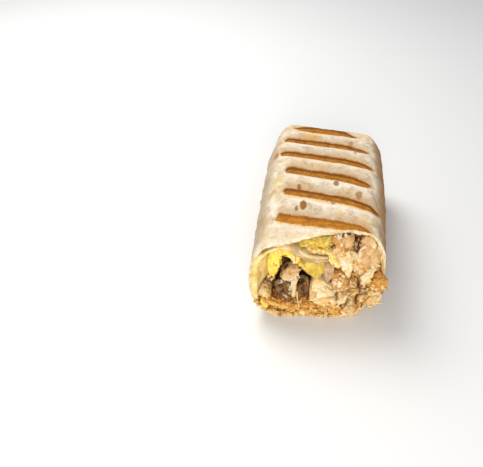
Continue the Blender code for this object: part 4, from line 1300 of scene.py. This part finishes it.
# %% [markdown]
# ## Finishes of the bits
# No two crumbs are fried alike. One material serves a whole kind: the tree gave each bit a number of its own,
# and a colour ramp turns that number into the bit's colour. A material for each shade would look the same and
# leave dozens of them. The larger torn flakes take their colours from noise along their fibres instead.

# %% Finishes whose colour changes from one bit to the next
def ramp(pick, stops):
    """The stops' colour at a number."""
    stops = [(at, tone(*colour)) for at, colour in stops]
    return pick.node("ShaderNodeValToRGB", {"stops": stops}, {0: pick})


def paint_bits(stops):
    """Each bit picks its colour from the stops, and varies a little within itself."""
    def paint(place):
        pick = kept(place, "tint") + (place.grain(1.4 * MM, 1.0, 2) - 0.5) * 0.4
        rough = place.grain(0.5 * MM, 2.0, 2)
        normal = relief(place, rough, 0.25 * MM)
        return {"Base Color": ramp(pick, stops), "Roughness": 0.30 + rough * 0.3, "Normal": normal}
    return paint


def paint_flakes(stops):
    """Torn meat: the stops follow its fibres, with paler ridges and darker hollows."""
    def paint(place):
        fibre = (place * (1.0, 1.0, 0.35)).grain(1.1 * MM, 6.0, 4, 0.65)
        pick = place.grain(3.0 * MM, 8.0, 3) * 0.9 + fibre * 1.5 - 0.7
        normal = relief(place, fibre, 0.9 * MM)
        return {"Base Color": ramp(pick, stops), "Roughness": 0.35 + fibre * 0.3, "Normal": normal}
    return paint


# Each finish: its colours, from the bit numbered 0 to the one numbered 1
BIT_TONES = {
    "golden_crumbs": [(0.0, (172, 104, 32)), (0.25, (212, 146, 52)), (0.5, (236, 184, 88)),
                      (0.8, (248, 208, 124)), (1.0, (255, 232, 176))],
    "meat_flakes": [(0.0, (178, 114, 46)), (0.25, (216, 162, 88)), (0.6, (244, 206, 138)),
                    (1.0, (255, 235, 190))],
    "brown_flakes": [(0.0, (124, 72, 24)), (0.3, (156, 96, 32)), (0.6, (190, 122, 44)),
                     (1.0, (226, 170, 88))],
    "yellow_crumbs": [(0.0, (222, 160, 34)), (0.5, (252, 224, 70)), (1.0, (255, 244, 150))],
    "sauce_drops": [(0.0, (196, 110, 22)), (0.5, (226, 150, 44)), (1.0, (244, 188, 84))],
    "green_pepper": [(0.0, (112, 124, 34)), (0.6, (150, 160, 60)), (1.0, (196, 196, 104))],
    # Painted shade for the holes and gaps in the cut
    "dark_pits": [(0.0, (40, 22, 18)), (0.6, (84, 50, 34)), (1.0, (128, 86, 56))],
    "white_shreds": [(0.0, (226, 184, 124)), (0.5, (246, 216, 164)), (1.0, (255, 238, 204))],
}
BIT_STEADY = {"meat_flakes": flesh, "yellow_crumbs": flesh, "white_shreds": flesh,
              "sauce_drops": {"Coat_Weight": 0.6, "Coat_Roughness": 0.12}}
for name, stops in BIT_TONES.items():
    finishes[name] = finish(name, paint_bits(stops), **BIT_STEADY.get(name, {}))
print("finishes in all:", len(finishes))

# %% What lies where
# Each table: a node and its share of the bits
MEATS = ("chicken_top", "chicken_centre", "chicken_right", "chicken_lower", "chicken_pale",
         "chicken_bottom_right", "chicken_bottom_middle", "chicken_bottom_bit", "chicken_strip",
         "chicken_pink")
ON_MEAT = {node: 1.0 for node in MEATS}
ON_BOTTOM = {
    "crumb_layer": 1.0, "crumb_lump_right": 0.5, "crumb_lump_bottom": 0.8, "chicken_left_low": 0.5,
    "tortilla": 3.0, "chicken_bottom_middle": 0.3, "chicken_bottom_bit": 0.4, "chicken_lower": 0.35,
    "chicken_under": 0.3, "chicken_bottom_right": 0.25, "chicken_right": 0.15, "chicken_centre": 0.2,
    "filling_core": 0.4}
ON_DARK = {"mushroom_left": 0.35, "mushroom_middle": 0.35, "filling_core": 0.6, "crumb_layer": 0.25,
           "chicken_lower": 0.1, "crumb_lump_right": 0.1}
ON_YELLOW = {"egg_layer": 1.0, "egg_band": 1.0, "pepper_upper": 0.12, "pepper_lower": 0.12,
             "egg_bit_low": 1.0}
# Each: where it lies, how far behind the cut in mm and how many to a square mm, its least and most size in
# mm, how far it leans in radians, how deep it sinks in mm, and its finish, slot and shape
SCATTERED = {
    "crumbs_golden": (ON_BOTTOM, 9, 0.20, (1.0, 0.9, 0.6), (3.0, 2.4, 1.6), 0.6, 0.15,
                      "golden_crumbs", "breading", "lump"),
    "flakes_pale": ({**ON_MEAT, "filling_core": 0.5, "crumb_layer": 0.3}, 9, 0.036,
                    (2.2, 1.6, 0.6), (6.5, 4.2, 1.5), 0.45, 0.10, "meat_flakes", "chicken_pale", "flake"),
    "shreds_pale": ({**ON_MEAT, "mushroom_slice": 0.2, "crumb_layer": 0.3}, 9, 0.010,
                    (3.0, 1.2, 0.5), (8.0, 2.8, 1.0), 0.3, 0.1, "meat_flakes", "chicken_pale", "shred"),
    "flakes_brown": (ON_DARK, 12, 0.07, (0.8, 0.6, 0.4), (3.4, 1.8, 1.1), 0.6, 0.1,
                     "brown_flakes", "mushroom", "lump"),
    "crumbs_yellow": (ON_YELLOW, 9, 0.08, (0.9, 0.7, 0.4), (2.8, 2.0, 1.1), 0.5, 0.15,
                      "yellow_crumbs", "egg", "lump"),
    "sauce_drops": ({**ON_MEAT, "egg_band": 0.5, "pepper_upper": 0.3, "crumb_layer": 0.8}, 9, 0.03,
                    (0.7, 0.7, 0.3), (2.6, 1.7, 0.6), 0.1, 0.1, "sauce_drops", "filling", "lump"),
}

# %% Scatter them
FIRST_SEED = 3
for number, (name, row) in enumerate(SCATTERED.items()):
    amounts, reach, density, least, largest, lean, sink, paint, slot_name, shape = row
    made = bed_of(name, amounts, reach * MM)
    one, two, three = small_shapes[shape]
    run_tree(scatter, made, per_square_metre=density * 1e6, least_size=tuple(Vector(least) * MM),
             most_size=tuple(Vector(largest) * MM), lean=lean, sink=sink * MM, seed=number + FIRST_SEED,
             shape_one=one, shape_two=two, shape_three=three, material=finishes[paint])
    for vert in made.data.vertices:  # nothing goes into the table
        vert.co.z = max(0.0, vert.co.z)
    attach(made, "root")
    print(name, triangles(made), "triangles")

# %% [markdown]
# ## Bits that lie where the photograph shows them
# Some bits are large enough to be told apart: pale strands that hang over the mushroom, torn flakes of
# chicken, green flecks, dark lumps of painted shade in holes and gaps of the cut, a dark shard and spots of
# sauce. Each follows pixels of the photograph. A ray from the camera through each pixel finds what carries
# it, and the bit is laid there, so it sits on the filling from every side. Scattering can't do this, as a
# scattered bit falls anywhere.

# %% Find what carries a pixel
carriers = [tortilla] + list(dressed.values())
all_points, all_faces = [], []
for carrier in carriers:
    start = len(all_points)
    all_points += [v.co.copy() for v in carrier.data.vertices]
    all_faces += [tuple(start + i for i in face.vertices) for face in carrier.data.polygons]
surface = BVHTree.FromPolygons(all_points, all_faces)


def carried(px, py):
    """The place that a pixel shows, its normal and its distance."""
    place, normal, _, far = surface.ray_cast(CAMERA, seen(px, py))
    return place, normal, far


# %% Strands and specks
STRAND_SIDES, STRAND_FLAT = 6, 0.45


def strand(pixels, radius, seed):
    """A thin uneven shred laid along pixels, with the surface's jumps smoothed out."""
    line = catmull_rom(pixels, 4)
    fars = [carried(*pixel)[2] - 0.5 * radius for pixel in line]
    for _ in range(3):
        near = [fars[max(0, i - 1):i + 2] for i in range(len(fars))]
        fars = [min(far, sum(some) / len(some)) for far, some in zip(fars, near)]
    middle = [CAMERA + seen(*pixel) * far for pixel, far in zip(line, fars)]
    rings = []
    for i, place in enumerate(middle):
        along = (middle[min(len(middle) - 1, i + 1)] - middle[max(0, i - 1)]).normalized()
        side = along.cross(AHEAD).normalized()
        share = i / (len(middle) - 1)
        thick = radius * (0.35 + 0.65 * math.sin(math.pi * (0.12 + 0.76 * share)))
        thick *= 1 + 0.5 * wobble(share * 3, seed, 0, 1.0)
        turns = [2 * math.pi * k / STRAND_SIDES for k in range(STRAND_SIDES)]
        over = side.cross(along)
        rings.append([place + thick * (math.cos(t) * side + STRAND_FLAT * math.sin(t) * over) for t in turns])
    found = [p for ring in rings for p in ring] + [middle[0], middle[-1]]
    sheets, end = join_rings(rings), (len(rings) - 1) * STRAND_SIDES
    for k in range(STRAND_SIDES):
        after = (k + 1) % STRAND_SIDES
        sheets += [(len(found) - 2, after, k), (len(found) - 1, end + k, end + after)]
    return found, sheets


def speck(px, py, length, width, height, turn, seed):
    """A small lump, its sizes in mm, laid flat on what carries it."""
    place, normal, _ = carried(px, py)
    across = (RIGHT * math.cos(turn) + UP * math.sin(turn)).cross(normal).normalized()
    ahead = normal.cross(across)
    found, sheets = ring_shape(LUMP, 7, 0.8, seed)
    laid = [p.x * length * ahead + p.y * width * across + (p.z + 0.15) * height * normal for p in found]
    return [place + p * MM for p in laid], sheets


# %% [markdown]
# ## Torn flakes
# The palest spots on the cut are thin flakes of chicken, some five millimetres wide, that the knife pulled
# loose. Their outlines are read off the photograph. Each becomes a shallow dome of four rings that leans on
# the filling behind it, closed by a point in front and one inside the filling. A flat card would give the
# same outline, but it would show as paper from the side.

# %% The rings of a flake
# Each ring of a torn flake: its share of the outline and how far it stands up, in mm
FLAKE_RINGS = [(1.0, 0.5), (0.93, 0.9), (0.5, 1.0), (0.15, 0.8)]
# How far a flake follows dips and bumps in mm, how much its outline is frayed in pixels, and its lift in mm
FLAKE_GIVE, FLAKE_FRAY, FLAKE_LIFT = 1.2, 0.7, 0.35


def flake(pixels, seed):
    """A thin torn piece whose outline follows pixels, standing a little off what carries it."""
    middle_x = sum(px for px, _ in pixels) / len(pixels)
    middle_y = sum(py for _, py in pixels) / len(pixels)
    edge = []
    for (x0, y0), (x1, y1) in zip(pixels, pixels[1:] + pixels[:1]):
        for share in (0, 0.25, 0.5, 0.75):
            px, py = x0 + (x1 - x0) * share, y0 + (y1 - y0) * share
            right, down = wobble(px, py, seed, 1.3), wobble(py, px, seed, 1.3)
            edge.append((px + FLAKE_FRAY * right, py + FLAKE_FRAY * down))

    def drawn_in(share):
        return [(middle_x + (px - middle_x) * share, middle_y + (py - middle_y) * share) for px, py in edge]

    fars = sorted(far for far in (carried(*pixel)[2] for pixel in drawn_in(0.7)) if far)
    base = fars[len(fars) // 2]
    nearest, furthest = base - FLAKE_GIVE * MM, base + FLAKE_GIVE * MM
    rings = []
    for share, lift in FLAKE_RINGS:
        ring = []
        for px, py in drawn_in(share):
            own = min(furthest, max(nearest, carried(px, py)[2] or base))
            far = (own + 2 * base) / 3 - (FLAKE_LIFT + lift + 0.35 * wobble(px, py, seed, 2.6)) * MM
            ring.append(CAMERA + seen(px, py) * far)
        rings.append(ring)
    found = [p for ring in rings for p in ring]
    found += [CAMERA + seen(middle_x, middle_y) * far for far in (base - 0.6 * MM, base + 1.5 * MM)]
    sheets, count, end = join_rings(rings), len(edge), (len(rings) - 1) * len(edge)
    for k in range(count):
        after = (k + 1) % count
        sheets += [(len(found) - 2, end + k, end + after), (len(found) - 1, after, k)]
    return found, sheets


# %% Lay a kind of bit as one piece
def lay(name, parts, paint):
    spots, sheets = [], []
    for found, joined in parts:
        sheets += [tuple(len(spots) + i for i in face) for face in joined]
        spots += found
    made = add_object(name, spots, sheets, paint)
    keep_on(made, "tint", [0.5 + 0.4 * wobble(*p, 4 * MM) for p in spots])
    turn_outwards(made, smooth=True)
    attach(made, "root")
    print(name, len(sheets), "faces")


# %% Lay the torn flakes
# Each kind: its colours along the fibres, and the outline of each flake in the photograph's pixels
FLAKES = {
    "flakes_cream": ([(0.1, (242, 198, 120)), (0.5, (255, 230, 176)), (0.9, (255, 246, 220))], [
        [(317, 280), (320.8, 279.7), (333.3, 292.5), (332.5, 295.8), (318.3, 298.3), (315.8, 297.5),
         (316.3, 290)],
        [(360, 276.7), (368.3, 271.7), (376.7, 265), (378.3, 267.5), (373.3, 274.2), (366.7, 281.7),
         (361.7, 285)],
        [(338.3, 253.3), (345, 251.7), (351.7, 256.7), (353.3, 265), (346.7, 268.3), (340, 265)],
        [(335.8, 300.8), (343.3, 296.7), (348.3, 293.3), (345, 303.3), (338.3, 305)],
        [(293.3, 272.5), (297, 272), (296, 281.7), (295, 294.2), (293, 295.8), (292.3, 288.3),
         (293.8, 280)]]),
    "flakes_ochre": ([(0.1, (214, 156, 82)), (0.5, (236, 190, 120)), (0.9, (250, 218, 160))], [
        [(309.7, 280), (315.8, 280.8), (315.8, 297.5), (309.2, 301.3)],
        [(340.8, 310.5), (345, 305.8), (353.3, 305), (355.8, 308.3), (351.7, 311.5), (345, 313)],
        [(364.2, 301.7), (370, 295.8), (376.5, 295), (378.5, 298.3), (374, 303), (366.7, 305)]]),
    "flakes_tan": ([(0.1, (204, 146, 84)), (0.5, (234, 188, 126)), (0.9, (252, 222, 172))], [
        [(280.5, 277.5), (283.7, 272.5), (288.7, 265.5), (295, 268.3), (302.5, 268.7), (298, 273),
         (290.8, 278.7), (286.7, 279.7)],
        [(360, 249.2), (371.7, 245.8), (378.3, 249.2), (380.5, 255), (379.8, 263.3), (371.7, 265.8),
         (361.7, 265), (358.3, 258.3)],
        [(360, 241.7), (365, 236), (372.3, 236), (375.7, 241), (368.3, 244.2)]]),
    "flakes_grey": ([(0.1, (168, 130, 86)), (0.5, (206, 170, 122)), (0.9, (234, 204, 160))], [
        [(322.5, 266.7), (328.3, 261.7), (335, 266.7), (333.3, 276.7), (326.7, 283.3), (323.3, 276.7)]]),
}
for name, (stops, outlines) in FLAKES.items():
    flakes = [flake(outline, i * 3.1) for i, outline in enumerate(outlines)]
    lay(name, flakes, finish(name, paint_flakes(stops), **flesh))

# %% Lay the strands
# Each kind: its finish, its slot, the step of its seeds, and each strand's pixels and half width in mm
STRANDS = {
    "strands_white": ("white_shreds", "chicken_pale", 1.3, [
        ([(297, 291), (297.4, 299), (299, 306)], 0.45),
        ([(293, 255.5), (294, 260), (294.6, 264)], 0.9),
        ([(299, 250.5), (308, 256), (318, 257.5), (328, 258)], 0.8),
        ([(351, 252), (357, 256), (360.5, 262)], 1.3),
        ([(366, 246), (361, 251), (360, 257)], 1.1),
        ([(325, 286), (331, 291), (336, 290)], 0.9)]),
    "mushroom_caps": ("cap", "mushroom", 1.9, [
        ([(274.5, 285), (279, 281.5), (285, 281.6), (290, 287), (290, 294)], 1.3),
        ([(296.6, 278), (302, 276.4), (307, 279), (308, 286)], 1.1),
        ([(281, 292), (286, 296), (288, 302)], 0.8)]),
}
for name, (kind, slot_name, seed_step, lines) in STRANDS.items():
    strands = [strand(line, radius * MM, i * seed_step) for i, (line, radius) in enumerate(lines)]
    lay(name, strands, finishes[kind])

# %% Lay the specks
# Each kind: its finish, its slot, the step of its seeds, and its specks. Each speck: its pixel, then its
# length, width and height in mm, and its turn in radians
SPECKS = {
    # Dark lumps laid as painted shade in the holes and gaps of the cut, and one dark shard
    "specks_dark": ("dark_pits", "mushroom", 1.7, [
        (343.4, 235.4, 2.4, 1.7, 1.3, 1.2), (349.2, 234.2, 2.2, 1.3, 1.5, 0.4),
        (286, 267, 3.4, 2.0, 0.5, 0.5), (281, 286, 3.2, 1.8, 0.5, 0.3),
        (302, 272, 3.6, 2.0, 0.5, 1.2), (355.5, 237, 3.0, 1.6, 0.5, 1.5),
        (370.6, 304.5, 1.6, 0.9, 0.7, 0.8), (357, 240, 3.2, 1.4, 0.5, 1.3), (340, 276, 1.3, 0.8, 0.4, 1.0)]),
    "specks_green": ("green_pepper", "pepper", 2.1, [
        (350.8, 291.4, 2.8, 1.7, 1.0, 1.1), (347, 288, 1.4, 0.9, 0.5, 0.4), (356, 300, 1.1, 0.7, 0.4, 0.2)]),
    "sauce_spots": ("sauce_drops", "filling", 0.9, [
        (338, 246, 3.4, 1.8, 0.5, 1.2), (352.4, 247, 2.6, 1.4, 0.5, 1.5), (343, 250.5, 2.4, 1.5, 0.4, 0.2),
        (333, 266, 2.6, 1.4, 0.4, 0.8), (326, 287, 3.0, 1.5, 0.5, 0.7), (345, 296, 2.6, 1.4, 0.4, 0.3),
        (363, 258, 2.4, 1.2, 0.4, 1.1), (378, 266, 2.2, 1.2, 0.4, 1.4), (284, 303, 3.0, 1.6, 0.5, 0.1)]),
}
for name, (kind, slot_name, seed_step, rows) in SPECKS.items():
    lay(name, [speck(*row, i * seed_step) for i, row in enumerate(rows)], finishes[kind])

# %% Clear the shapes that were only scattered
for made in small_shapes.values():
    for shape in made:
        bpy.data.objects.remove(shape, do_unlink=True)
